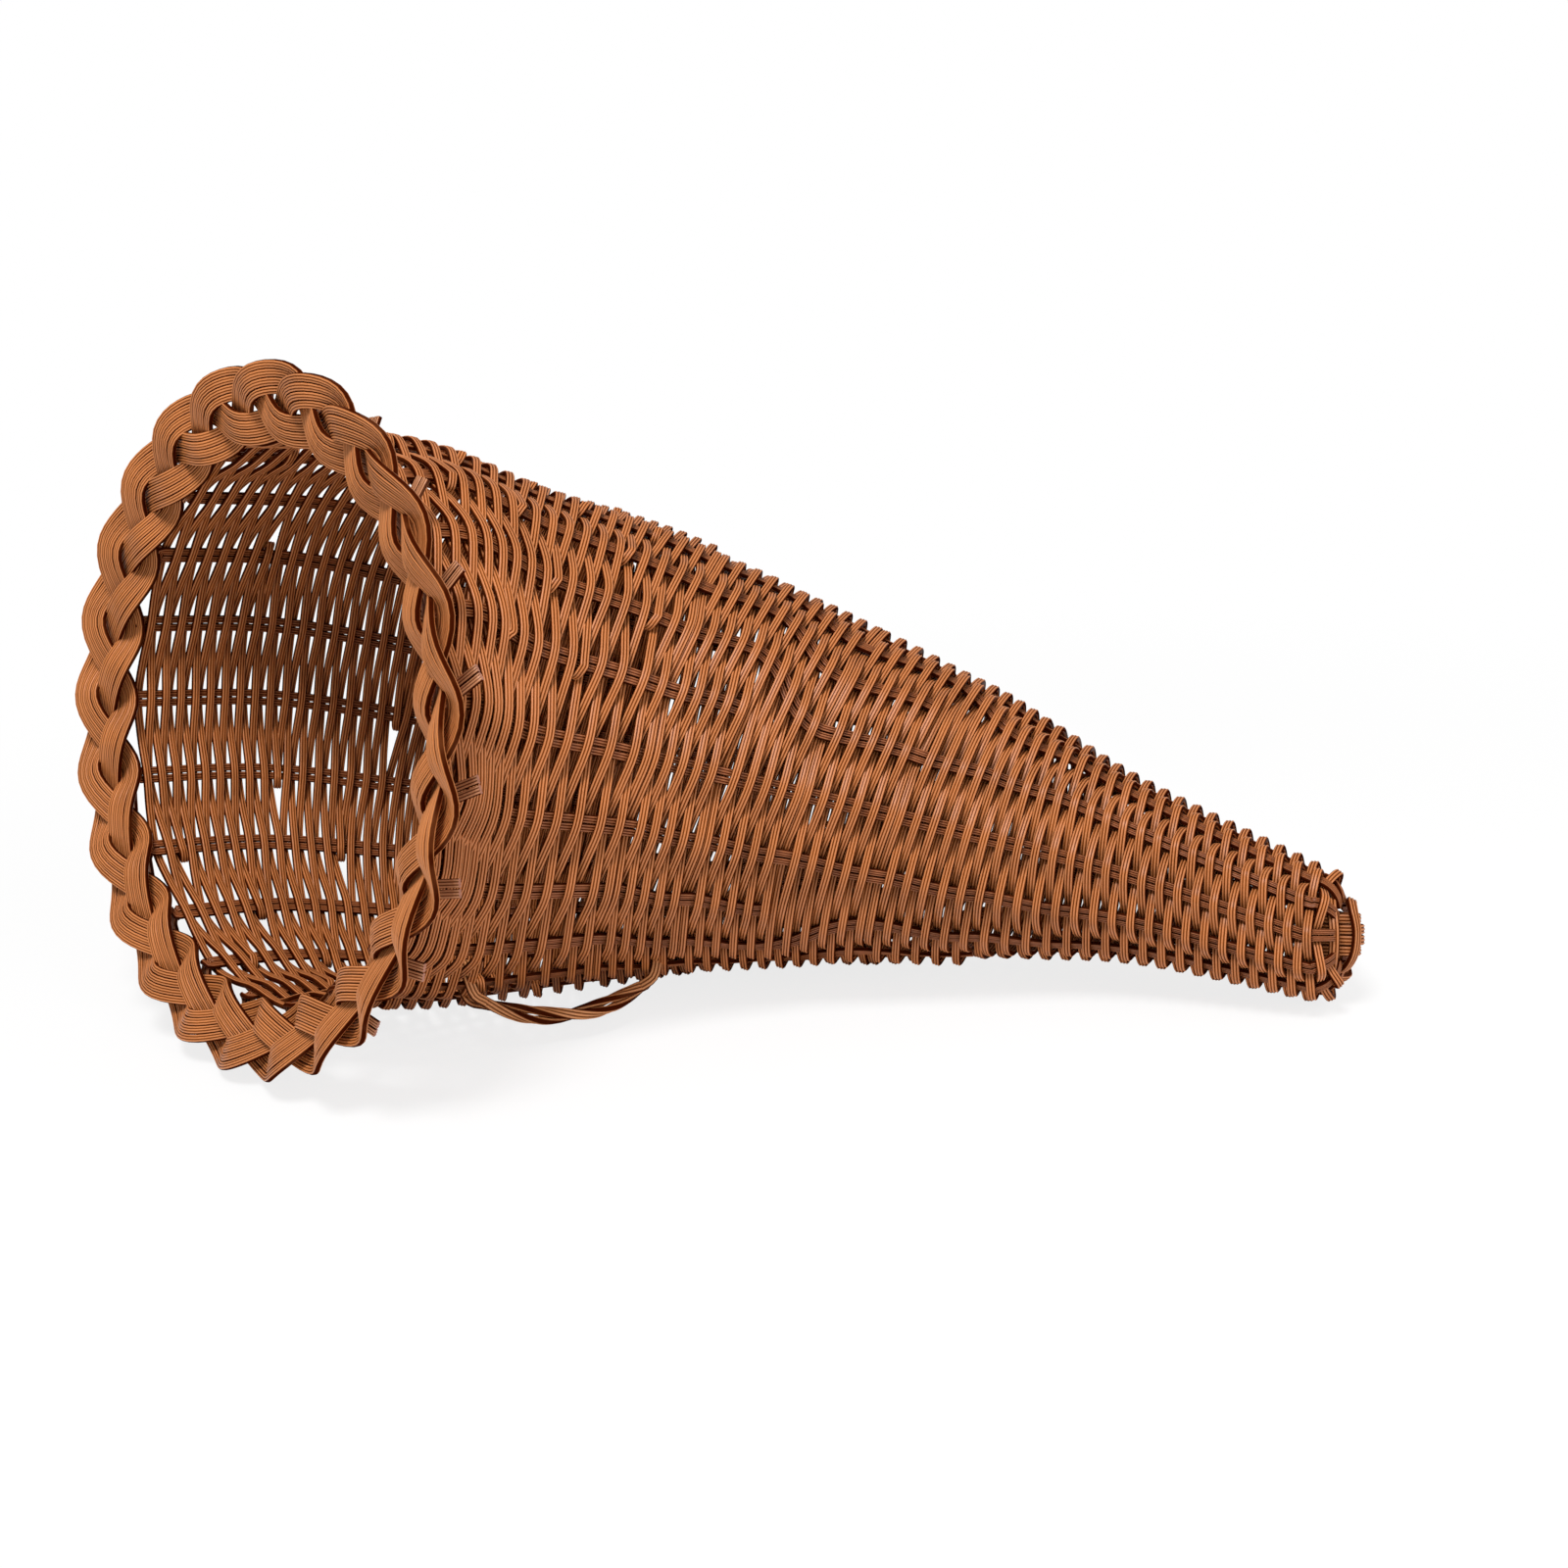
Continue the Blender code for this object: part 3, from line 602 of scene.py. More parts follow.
def ribbed_plastic_group(look: RibbedLook) -> bpy.types.NodeTree:
    """The shared look of ribbed plastic strand, built once.

    Args:
        look: The group's measures.

    Returns:
        A node group that puts out Color, Roughness, Shine and Height. Across the strand, the ribs are
        1/2 + 1/2 cos(3 pi x), where x runs from -1 to 1. The first Pale End metres of a strand are
        lighter.
    """
    name = "ribbed_plastic"
    if name in bpy.data.node_groups:
        return bpy.data.node_groups[name]
    tree = bpy.data.node_groups.new(name, "ShaderNodeTree")
    for way, kind, sockets in (("INPUT", "NodeSocketColor", ("Rib", "Groove Shade", "Crest Highlight")),
                               ("INPUT", "NodeSocketFloat", ("Highlight Amount", "Pale End", "Roughness")),
                               ("OUTPUT", "NodeSocketColor", ("Color",)),
                               ("OUTPUT", "NodeSocketFloat", ("Roughness", "Shine", "Height"))):
        for socket in sockets:
            tree.interface.new_socket(socket, in_out=way, socket_type=kind)
    given = tree.nodes.new("NodeGroupInput").outputs
    result = tree.nodes.new("NodeGroupOutput").inputs
    wires = Wiring(tree)
    math_node = wires.math

    strand_map = tree.nodes.new("ShaderNodeUVMap")
    strand_map.uv_map = "strand"
    split = tree.nodes.new("ShaderNodeSeparateXYZ")
    wires.feed(split.inputs[0], strand_map.outputs["UV"])
    place = wires.add("ShaderNodeTexCoord", "Object")
    x = math_node("SUBTRACT", math_node("MULTIPLY", split.outputs["X"], 2.0), 1.0)
    wave = math_node("COSINE", math_node("MULTIPLY", x, look.ribs * math.pi))
    rib = math_node("ADD", math_node("MULTIPLY", wave, 0.5), 0.5)
    tone, speckle = (wires.add("ShaderNodeTexNoise", "Fac", Vector=place, Scale=scale, Detail=look.detail)
                     for scale in (look.tone_scale, look.speckle_scale))
    uneven_tone, uneven_speckle = (math_node("SUBTRACT", noise, 0.5) for noise in (tone, speckle))
    # Painted shade: near the strand's sides, where |x| nears 1, the crest share falls, so the colour
    # darkens towards the groove shade colour.
    edge = math_node("POWER", math_node("ABSOLUTE", x), look.edge_power)
    crest = math_node("SUBTRACT", math_node("POWER", rib, look.crest_power),
                      math_node("MULTIPLY", edge, look.side_shade), True)
    toned = math_node("ADD", crest, math_node("MULTIPLY", uneven_tone, look.tone_share), True)
    # Painted shade: the colour runs from the groove shade colour in the grooves and along the sides to the
    # rib colour on the crests, with a random tone on top.
    body = wires.mixed(toned, given["Groove Shade"], given["Rib"])
    # Painted highlight: pale speckles along the rib crests, as much as the highlight amount asks.
    spots = math_node("MULTIPLY", speckle, look.crest_highlight_speckle, True)
    highlight_spots = math_node("MULTIPLY", spots, given["Highlight Amount"])
    crest_highlight = math_node("MULTIPLY", math_node("POWER", rib, look.crest_highlight_power), highlight_spots, True)
    # The first Pale End metres of a strand are mixed towards the pale highlight colour, more on the crests;
    # on the stakes this lifts their painted shade on the stubs.
    in_pale_end = math_node("LESS_THAN", split.outputs["Y"], given["Pale End"])
    pale = math_node("MULTIPLY", math_node("MULTIPLY", in_pale_end, toned), look.pale_share)
    wires.feed(result["Color"], wires.mixed(math_node("MAXIMUM", crest_highlight, pale), body, given["Crest Highlight"]))
    wires.feed(result["Roughness"], math_node("ADD", given["Roughness"], math_node(
        "MULTIPLY", uneven_speckle, look.rough_share), True))
    wires.feed(result["Shine"], math_node("MULTIPLY", toned, look.shine))
    wires.feed(result["Height"], math_node("ADD", math_node("MULTIPLY", rib, 0.5),
                                           math_node("MULTIPLY", speckle, 0.5)))
    return tree


@dataclass(frozen=True)
class Workshop:
    """What every sub-assembly shares: the horn's shape, the strand's section and the finishes."""

    horn: HornShape
    section: RibbedSection
    cut_end: bpy.types.Material

    def finished(self, name: str, mesh: Mesh, material: bpy.types.Material, body: Body, slot: str,
                 nodes: tuple[str, ...]) -> bpy.types.Object:
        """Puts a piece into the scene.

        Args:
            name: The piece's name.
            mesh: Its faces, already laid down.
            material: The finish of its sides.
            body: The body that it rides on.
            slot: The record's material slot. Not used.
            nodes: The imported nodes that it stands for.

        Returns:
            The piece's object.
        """
        data = mesh.build(name)
        data.materials.append(material)
        data.materials.append(self.cut_end)
        piece = bpy.data.objects.new(name, data)
        bpy.context.scene.collection.objects.link(piece)
        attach(piece, body.value)
        if nodes:
            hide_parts(*nodes)
        log.info("%s: %d faces", name, len(data.polygons))
        return piece

    def laid_path(self, points: Array, faces: Array, width: float) -> Path:
        """The path of a strand that is as wide all along, turned to the way that the basket rests."""
        return Path(self.horn.laid_down(points), self.horn.turned(faces), np.full(len(points), width))

    def single(self, name: str, path: Path, thickness: float, material: bpy.types.Material, body: Body,
               slot: str, node: str) -> None:
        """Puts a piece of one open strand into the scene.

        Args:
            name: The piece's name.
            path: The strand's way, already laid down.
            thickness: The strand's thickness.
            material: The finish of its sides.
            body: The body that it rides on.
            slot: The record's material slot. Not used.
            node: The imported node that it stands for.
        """
        mesh = Mesh()
        mesh.add_strand(*path.swept(self.section.corners(), thickness), False)
        self.finished(name, mesh, material, body, slot, (node,))


@dataclass
class Stakes:
    """The stakes: pairs of strands side by side that run the length of the horn. Each pair ends in cut
    stubs behind the border, and those that reach the tail draw in round its tip."""

    shop: Workshop
    material: bpy.types.Material
    thickness: float = 1.25 * MM
    gap: float = 0.2 * MM
    wall_points: int = 40
    steps: int = 4
    stub_behind: float = 4.9 * MM
    stub_reach: float = 12.5 * MM
    stub_slant: float = 6.5 * MM
    stub_shares: tuple[Triple, ...] = (
        (1.0, 1.9, 1.0), (0.62, 1.45, 0.5), (0.3, 1.1, 0.12), (0.07, 1.04, 0.0))
    cap_points: int = 5

    def run(self, number: int) -> tuple[Array, Array]:
        """The way of one stake, from behind the mouth to its last ring.

        Args:
            number: The stake, from 0.

        Returns:
            Shares of the horn and angles along it.
        """
        horn = self.shop.horn
        first = horn.rim_share(horn.stake_angles(np.zeros(())))[number]
        last = horn.stop_of()[number]
        shares = np.linspace(first, min(last, 1.0), self.wall_points)
        if np.isinf(last):
            cap = 1.0 + horn.cap_share * np.arange(1, self.cap_points + 1) / self.cap_points
            shares = np.concatenate([shares, cap])
        return shares, horn.stake_angles(shares)[:, number]

    def stub(self, angle: float) -> tuple[Array, Array]:
        """The end behind the border, turned out and along the rim.

        Args:
            angle: The stake's angle at the rim.

        Returns:
            Its points and faces, from its cut end inwards.
        """
        horn = self.shop.horn
        centre, mouthward, near, up = horn.ring(np.zeros(()))
        out = math.cos(angle) * near + math.sin(angle) * up
        along = math.cos(angle) * up - math.sin(angle) * near
        radius = horn.middle_radius(0.0)
        points = [centre + (radius + self.stub_reach * reach) * out - self.stub_behind * behind * mouthward
                  + self.stub_slant * slant * along for reach, behind, slant in self.stub_shares]
        faces = [mouthward] * (len(points) - 1) + [unit(mouthward + out)]
        return np.array(points), np.array(faces)

    def path(self, number: int) -> Path:
        """The middle line of one pair.

        Args:
            number: The stake, from 0.

        Returns:
            The line, in the horn's frame.
        """
        horn = self.shop.horn
        shares, angles = self.run(number)
        stub, stub_faces = self.stub(angles[0])
        points = [stub, horn.wall(shares, angles, 0.0)]
        faces = [stub_faces, horn.outward(shares, angles)]
        widths = [np.full(len(stub), horn.pair_width), horn.width_of_pair(shares)]
        return Path(*(np.concatenate(part) for part in (points, faces, widths))).finer(self.steps)

    def build(self) -> None:
        """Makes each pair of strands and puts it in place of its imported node."""
        section = self.shop.section.corners()
        for number in range(self.shop.horn.stakes):
            path = self.path(number)
            across = unit(np.cross(unit(np.gradient(path.points, axis=0)), path.faces))
            mesh = Mesh()
            for side in (-1, 1):
                moved = path.points + (side * (path.widths + self.gap) / 4)[:, None] * across
                one = Path(self.shop.horn.laid_down(moved), self.shop.horn.turned(path.faces),
                           (path.widths - self.gap) / 2)
                mesh.add_strand(*one.swept(section, self.thickness), False)
            node = f"stake_{number + 1:02}"
            self.shop.finished(f"stake_pair_{number + 1:02}", mesh, self.material, Body.BASKET,
                               "stake_strand", (node,))


@dataclass
class Weave:
    """The weavers: long strands over one stake and under the next, all round the horn. Near the mouth a
    weaver turns back round a stake on each side of the bend's far side, once in every turn."""

    shop: Workshop
    material: bpy.types.Material
    width: float = 2.25 * MM
    thickness: float = 1.6 * MM
    lift: float = 1.8 * MM
    tail_lift: float = 2.2 * MM
    sway: float = 0.55 * MM
    sway_swing: float = 0.5 * MM
    sway_fade: tuple[float, float] = (0.5, 0.4)
    turn_slope: float = 2.0
    turn_start: float = 0.5
    turn_edge: float = 0.8
    last_share: float = 1.03
    turn_reach: float = 1.1 * MM
    bend_turns: int = 24
    spread: tuple[float, float] = (0.06, 0.94)
    golden: float = 0.618
    reach_starts: tuple[float, float] = (0.5, 0.2)
    wall_samples: int = 60
    spiral_samples: int = 400
    body_turns: int = 82
    bend_weavers: int = 4
    body_weavers: int = 5
    steps: int = 5

    def turn_stakes(self) -> tuple[Array, Array]:
        """The stakes that each turn of the bend turns back at. A stake is covered by as many turns as the
        wall is longer there than on the hollow side: cover = (length - least) / (most - least). The turns
        reach as far as the cover that is their own share, and the shares step on by the golden ratio.

        Returns:
            For every turn, the turn stake before the bend's far side and the one behind it.
        """
        horn = self.shop.horn
        angles = horn.stake_angles(np.zeros(()))
        start = horn.rim_share(angles)
        shares = start + np.linspace(0, 1, self.wall_samples)[:, None] * (horn.bend_end - start)
        wall = horn.wall(shares, np.broadcast_to(angles, shares.shape), 0.0)
        lengths = np.linalg.norm(np.diff(wall, axis=0), axis=2).sum(axis=0)
        cover = (lengths - lengths.min()) / (lengths.max() - lengths.min())
        low, high = self.spread
        steps = self.golden * np.arange(self.bend_turns)
        up_reach, down_reach = (low + (high - low) * ((first + steps) % 1) for first in self.reach_starts)
        up = np.argmax(cover[None, 1:] > up_reach[:, None], axis=1) + 1
        down = horn.stakes - 1 - np.argmax(cover[None, ::-1] > down_reach[:, None], axis=1)
        return up, down

    def packing(self, up: int, down: int, angles: Array) -> Array:
        """How deep a turn lies, with a slope round each turn stake.

        Args:
            up: The turn stake before the bend's far side.
            down: The turn stake behind it.
            angles: Angles round the horn.

        Returns:
            1 where the turn lies three rows deep and 0 where it is one row.
        """
        horn = self.shop.horn
        up, down = horn.stake_angles(np.zeros(()))[[up, down]]
        slope = self.turn_slope * 2 * np.pi / horn.stakes
        return (smooth_step((angles - up) / slope + self.turn_start)
                * smooth_step((down - angles) / slope + self.turn_start))

    def bend(self) -> tuple[Array, Array, Array]:
        """The bend's crossings, in the order that the weaver meets them. In every turn row 0 goes out, row
        1 comes back and row 2 goes on.

        Returns:
            Share, angle and stake of each crossing.
        """
        horn = self.shop.horn
        angles = horn.stake_angles(np.zeros(()))
        start = horn.rim_share(angles)
        turn_stakes = list(zip(*self.turn_stakes()))
        depth = np.array([1 + 2 * self.packing(up, down, angles) for up, down in turn_stakes])
        before = np.cumsum(depth, axis=0) - depth
        total = depth.sum(axis=0)
        below = angles > np.pi
        shares, stakes = [], []
        for turn, (up, down) in enumerate(turn_stakes):
            packed = (depth[turn] - 1) / 2
            room = np.array([np.where(below, packed, 1.0), packed, np.where(below, 1.0, packed)])
            middle = before[turn] + np.cumsum(room, axis=0) - room / 2 + angles / (2 * np.pi) - 0.5
            share = start + (horn.bend_end - start) * middle / total
            passes = (np.arange(down + 1), np.arange(down, up - 1, -1), np.arange(up, horn.stakes))
            shares += [share[row][stake] for row, stake in enumerate(passes)]
            stakes += list(passes)
        order = np.concatenate(stakes)
        return np.concatenate(shares), angles[order], order

    def body(self) -> tuple[Array, Array, Array]:
        """The crossings from the bend to the tail: one even spiral.

        Returns:
            Share, angle and stake of each crossing.
        """
        horn = self.shop.horn
        fine = np.linspace(horn.bend_end, self.last_share, self.spiral_samples)
        middle = horn.wall(fine, np.zeros(len(fine)), 0.0) + horn.wall(fine, np.full(len(fine), np.pi), 0.0)
        steps = np.linalg.norm(np.diff(middle / 2, axis=0), axis=1)
        along = np.concatenate([[0.0], np.cumsum(steps)])
        turn, stake = np.divmod(np.arange(self.body_turns * horn.stakes), horn.stakes)
        share = np.full(len(turn), horn.bend_end)
        for _ in range(horn.rounds):
            angle = np.take_along_axis(horn.stake_angles(share), stake[:, None], axis=1)[:, 0]
            share = np.interp(along[-1] * (turn + angle / (2 * np.pi)) / self.body_turns, along, fine)
        kept = share < horn.stop_of()[stake]
        return share[kept], angle[kept], stake[kept]

    def controls(self, share: Array, angle: Array, stake: Array) -> tuple[Array, Array, Array, Array]:
        """Points for the weaver to pass through: one at each crossing, one halfway to the next, and three
        round the stake's edge where it turns back.

        Args:
            share: The share of the horn at each crossing.
            angle: The angle of each crossing.
            stake: The stake of each crossing.

        Returns:
            The points, the faces, the number of the crossing before each point, and whether each crossing
            is a turn back.
        """
        horn = self.shop.horn
        count = len(share)
        side = np.where(np.arange(count) % 2 == 0, 1.0, -1.0)
        height = self.lift + (self.tail_lift - self.lift) * share
        normal = horn.outward(share, angle)
        along = horn.lengthwise(share, angle)
        start, length = self.sway_fade
        sway = (self.sway + self.sway_swing * np.cos(angle)) * (1 - smooth_step((share - start) / length))
        crossing = horn.wall(share, angle, side * height) + (side * sway)[:, None] * along
        following = np.roll(np.arange(count), -1)
        turns = (stake == stake[following]) & (np.arange(count) < count - 1)
        step = (angle[following] - angle + np.pi) % (2 * np.pi) - np.pi
        middle_share = (share + share[following]) / 2
        middle_angle = angle + step / 2
        halfway = horn.wall(middle_share, middle_angle, 0.0)
        halfway_face = horn.outward(middle_share, middle_angle)
        going = np.sign(np.roll(step, 1))
        tangential = np.cross(along, normal)
        ahead = horn.wall(share, angle + horn.angle_step, 0.0) - horn.wall(share, angle, 0.0)
        tangential *= np.sign((tangential * ahead).sum(axis=1))[:, None]
        away = going[:, None] * tangential
        edge = (horn.width_of_pair(share) / 2 + self.thickness / 2)[:, None] * away
        far = horn.wall(middle_share, angle, 0.0) + edge + self.turn_reach * away
        before = np.concatenate([[0], np.cumsum(turns)[:-1]])
        sign = np.where(before % 2 == 0, 1.0, -1.0)[:, None]
        near_edge = crossing + self.turn_edge * edge
        far_edge = crossing[following] + self.turn_edge * edge
        points = np.stack([crossing, near_edge, np.where(turns[:, None], far, halfway), far_edge], 1)
        faces = np.stack([sign * normal, sign * normal,
                          np.where(turns[:, None], sign * side[:, None] * away, sign * halfway_face),
                          -sign * normal], 1)
        kept = np.stack([np.ones(count, bool), turns, np.arange(count) < count - 1, turns], 1)
        number = np.broadcast_to(np.arange(count)[:, None], kept.shape)
        return points[kept], faces[kept], number[kept], turns

    def cuts(self, in_bend: int, in_all: int, turns: Array) -> list[int]:
        """Where one weaver ends and the next begins: each behind a stake, away from turns.

        Args:
            in_bend: How many crossings the bend has.
            in_all: How many crossings there are.
            turns: Whether each crossing is a turn back.

        Returns:
            The first crossing of each weaver, and the last of all.
        """
        wanted = [in_bend * k // self.bend_weavers for k in range(1, self.bend_weavers + 1)]
        rest = in_all - in_bend
        wanted += [in_bend + rest * k // self.body_weavers for k in range(1, self.body_weavers)]
        found = [0]
        for number in wanted:
            number |= 1
            while turns[number] or turns[number - 1]:
                number += 2
            found.append(number)
        return found + [in_all - 1]

    def build(self) -> None:
        """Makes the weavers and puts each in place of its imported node."""
        horn = self.shop.horn
        bend, body = self.bend(), self.body()
        share, angle, stake = (np.concatenate(pair) for pair in zip(bend, body))
        points, faces, number, turns = self.controls(share, angle, stake)
        cuts = self.cuts(len(bend[0]), len(share), turns)
        for piece, (first, last) in enumerate(zip(cuts[:-1], cuts[1:])):
            part = (number >= first) & (number < last)
            part[np.argmax(number == last)] = True
            path = self.shop.laid_path(points[part], faces[part], self.width).finer(self.steps)
            self.shop.single(f"weaver_strand_{piece + 1}", path, self.thickness, self.material, Body.BASKET,
                             "weaver_strand", f"weaver_{piece + 1}")


@dataclass
class Border:
    """The border: three bands plaited round the mouth, each of four strands side by side."""

    shop: Workshop
    material: bpy.types.Material
    radius: float = 77.8 * MM
    swing: float = 6.3 * MM
    roundness: float = 0.04
    gather: float = 0.9 * MM
    tilt: float = math.radians(17.0)
    forward: float = 0.3 * MM
    nearer: float = 2.5 * MM
    lift: float = 2.3 * MM
    bands: int = 3
    strands: int = 4
    strand_width: float = 2.1 * MM
    strand_gap: float = -0.02 * MM
    thickness: float = 1.7 * MM
    crown: float = 0.35 * MM
    periods: int = 8
    points_each: int = 28
    start: float = math.radians(50.0)

    def build(self) -> None:
        """Makes each band: its middle swings across the border as sin(phase), with rounder turns from
        sin(3 phase), gathers towards its turns along the rim as sin(2 phase), and goes over and under the
        other two as -sin(2 phase). The whole plait is tilted, so that its outer edge stands further
        forward than its inner edge."""
        horn = self.shop.horn
        centre, mouthward, near, up = horn.ring(np.zeros(()))
        even = np.linspace(0, 2 * np.pi, self.periods * self.points_each, endpoint=False)
        section = self.shop.section.corners()
        middle_strand = (self.strands - 1) / 2
        for band in range(self.bands):
            phase = self.periods * even + self.start + 2 * np.pi * band / self.bands
            angle = even + self.gather / self.radius * np.sin(2 * phase)
            out = np.cos(angle)[:, None] * near + np.sin(angle)[:, None] * up
            across = math.cos(self.tilt) * out + math.sin(self.tilt) * mouthward
            front = math.cos(self.tilt) * mouthward - math.sin(self.tilt) * out
            middle = centre + self.radius * out + self.forward * mouthward + self.nearer * near
            reach = self.swing * (np.sin(phase) + self.roundness * np.sin(3 * phase))
            lift = -self.lift * np.sin(2 * phase)
            mesh = Mesh()
            for strand in range(self.strands):
                place = (strand - middle_strand) / middle_strand
                aside = (self.strand_width + self.strand_gap) * (strand - middle_strand)
                high = lift + np.sign(lift) * self.crown * (1 - place ** 2) * np.abs(np.sin(2 * phase))
                points = middle + reach[:, None] * across + high[:, None] * front
                path = self.shop.laid_path(points, front, self.strand_width)
                mesh.add_strand(*path.swept(section, self.thickness, aside, True), True)
            self.shop.finished(f"border_plait_{band + 1}", mesh, self.material, Body.BASKET,
                               "border_strand", (f"border_band_{band + 1}",))


@dataclass
class Tail:
    """The tail's end: strands that fold over the tip, and a strand that winds round them."""

    shop: Workshop
    material: bpy.types.Material
    tip: float = 7.0 * MM
    folds: int = 4
    fold_width: float = 2.5 * MM
    fold_pitch: float = 2.6 * MM
    thickness: float = 1.6 * MM
    fold_radius: float = 2.9 * MM
    fold_depth: float = 11.0 * MM
    rounding: float = 0.9 * MM
    fold_points: int = 17
    winding_width: float = 2.5 * MM
    winding_steps: int = 6
    facing_reach: float = 4.0 * MM
    winding: tuple[Triple, ...] = (
        (-4.0, 8.6, 3.0), (1.5, 9.2, 3.8), (6.4, 6.8, 4.8), (8.8, 1.6, 5.8), (8.4, -4.2, 5.6),
        (5.0, -8.6, 4.4), (0.0, -10.0, 3.6), (-5.4, -8.6, 4.2), (-8.6, -3.6, 5.2), (-8.2, 2.6, 6.4),
        (-4.6, 7.0, 7.6), (0.4, 8.0, 8.4), (3.4, 5.6, 9.4), (3.8, 1.0, 10.2), (3.0, -4.0, 9.6),
        (1.2, -7.6, 7.6), (-1.0, -9.4, 5.0))

    def placed(self, local: Array) -> Array:
        """Points given towards angle 0, towards angle 90 and tailwards of the last ring, in the horn's
        frame."""
        centre, mouthward, near, up = self.shop.horn.ring(np.ones(()))
        return centre + local @ np.stack([near, up, -mouthward])

    def build_folds(self) -> None:
        """Each fold is a flat strand: two straight runs joined by half a circle over the tip. The middle
        ones reach a little further, so that the tip is round."""
        horn = self.shop.horn
        _, mouthward, near, _ = horn.ring(np.ones(()))
        bend = np.linspace(-np.pi / 2, np.pi / 2, self.fold_points)
        middle_fold = (self.folds - 1) / 2
        for fold in range(self.folds):
            place = (fold - middle_fold) / middle_fold
            tip = self.tip + self.rounding * (1 - place ** 2)
            side = self.fold_radius * np.sin(bend)
            tail = tip + self.fold_radius * np.cos(bend)
            across = np.concatenate([[side[0]], side, [side[-1]]])
            along = np.concatenate([[tip - self.fold_depth], tail, [tip - self.fold_depth]])
            height = np.full(len(across), self.fold_pitch * (fold - middle_fold))
            points = self.placed(np.stack([across, height, along], 1))
            faces = (np.sin(bend)[:, None] * near - np.cos(bend)[:, None] * mouthward)
            faces = np.concatenate([[-near], faces, [near]])
            path = self.shop.laid_path(points, faces, self.fold_width)
            self.shop.single(f"tail_fold_strand_{fold + 1}", path, self.thickness, self.material,
                             Body.BASKET, "tail_strand", f"tail_fold_{fold + 1}")

    def build_winding(self) -> None:
        """The strand that winds round the folds and then crosses over them: a smooth curve through its
        own points, with its flat side facing away from the tail's middle line."""
        horn = self.shop.horn
        local = np.array(self.winding) * MM
        middle = local * (0.0, 0.0, 1.0)
        middle[:, 2] = np.minimum(middle[:, 2], self.facing_reach)
        points = self.placed(local)
        faces = unit(points - self.placed(middle))
        path = self.shop.laid_path(points, faces, self.winding_width).finer(self.winding_steps)
        self.shop.single("tail_winding", path, self.thickness, self.material, Body.BASKET, "tail_strand",
                         "tail_binding")

    def build(self) -> None:
        """Makes the folds and the winding."""
        self.build_folds()
        self.build_winding()


@dataclass
class HangingLoop:
    """The hanging loop under the horn: two strands twisted together, threaded round one stake at both
    ends. It swings about the line through those two places."""

    shop: Workshop
    material: bpy.types.Material
    start: Triple = (-54.96 * MM, -31.52 * MM, 19.24 * MM)
    end: Triple = (-9.01 * MM, -14.87 * MM, 13.69 * MM)
    rise: float = 10.5 * MM
    fullness: float = 0.7
    inset: float = 4.2 * MM
    depth: float = 5.0 * MM
    half_turns: int = 2
    twist_radius: float = 1.2 * MM
    width: float = 2.7 * MM
    thickness: float = 2.0 * MM
    points: int = 44
    steps: int = 3
    stake: int = 17
    stake_share: float = 0.4
    arc: tuple[float, float] = (0.12, 0.76)
    hook_places: tuple[Triple, ...] = (
        (0.9, 0.0, -1.0), (3.9, 0.0, -0.75), (4.2, 0.3, 0.0), (3.0, 1.6, 0.75))

    def build(self) -> None:
        """Each strand winds round the loop's middle line: the line rises off the wall as a flattened sine,
        and the strand is radius x (cos(turn) side + sin(turn) rise) beside it."""
        horn = self.shop.horn
        start, end = np.array(self.start), np.array(self.end)
        length = np.linalg.norm(end - start)
        axis = (end - start) / length
        share = np.array(self.stake_share)
        _, _, near, up = horn.ring(share)
        angle = horn.stake_angles(share)[self.stake]
        out = horn.turned(math.cos(angle) * near + math.sin(angle) * up)
        rise = unit(out - axis * (out @ axis))
        side = np.cross(rise, axis)
        t = np.linspace(0, 1, self.points)
        height = self.rise * np.sin(np.pi * (self.arc[0] + self.arc[1] * t)) ** self.fullness
        run = self.inset + (length - 2 * self.inset) * t
        line = start + run[:, None] * axis + height[:, None] * rise
        for number, sign in ((1, 1), (2, -1)):
            turn = np.pi * self.half_turns * t + (0 if sign > 0 else np.pi)
            about = np.cos(turn)[:, None] * side + np.sin(turn)[:, None] * rise
            last = sign * (-1) ** self.half_turns
            points = np.concatenate([self.hook(start, axis, side * sign, rise, 1),
                                     line + self.twist_radius * about,
                                     self.hook(end, axis, side * last, rise, -1)[::-1]])
            ends = len(self.hook_places)
            faces = np.concatenate([[side * sign] * ends, about, [side * last] * ends])
            path = Path(points, faces, np.full(len(points), self.width)).finer(self.steps)
            self.shop.single(f"loop_twist_strand_{number}", path, self.thickness, self.material, Body.LOOP,
                             "loop_strand", f"loop_strand_{number}")

    def hook(self, anchor: Array, axis: Array, side: Array, rise: Array, way: int) -> Array:
        """The strand's end, from behind the stake, past its edge and out towards the loop.

        Args:
            anchor: The place where the strand goes round the stake.
            axis: The direction from the loop's start to its end.
            side: The side of the stake that the strand passes on.
            rise: The direction off the wall.
            way: 1 at the loop's start, -1 at its end.

        Returns:
            The end's points.
        """
        return np.array([anchor + MM * across * side + MM * along * way * axis + self.depth * high * rise
                         for across, along, high in self.hook_places])


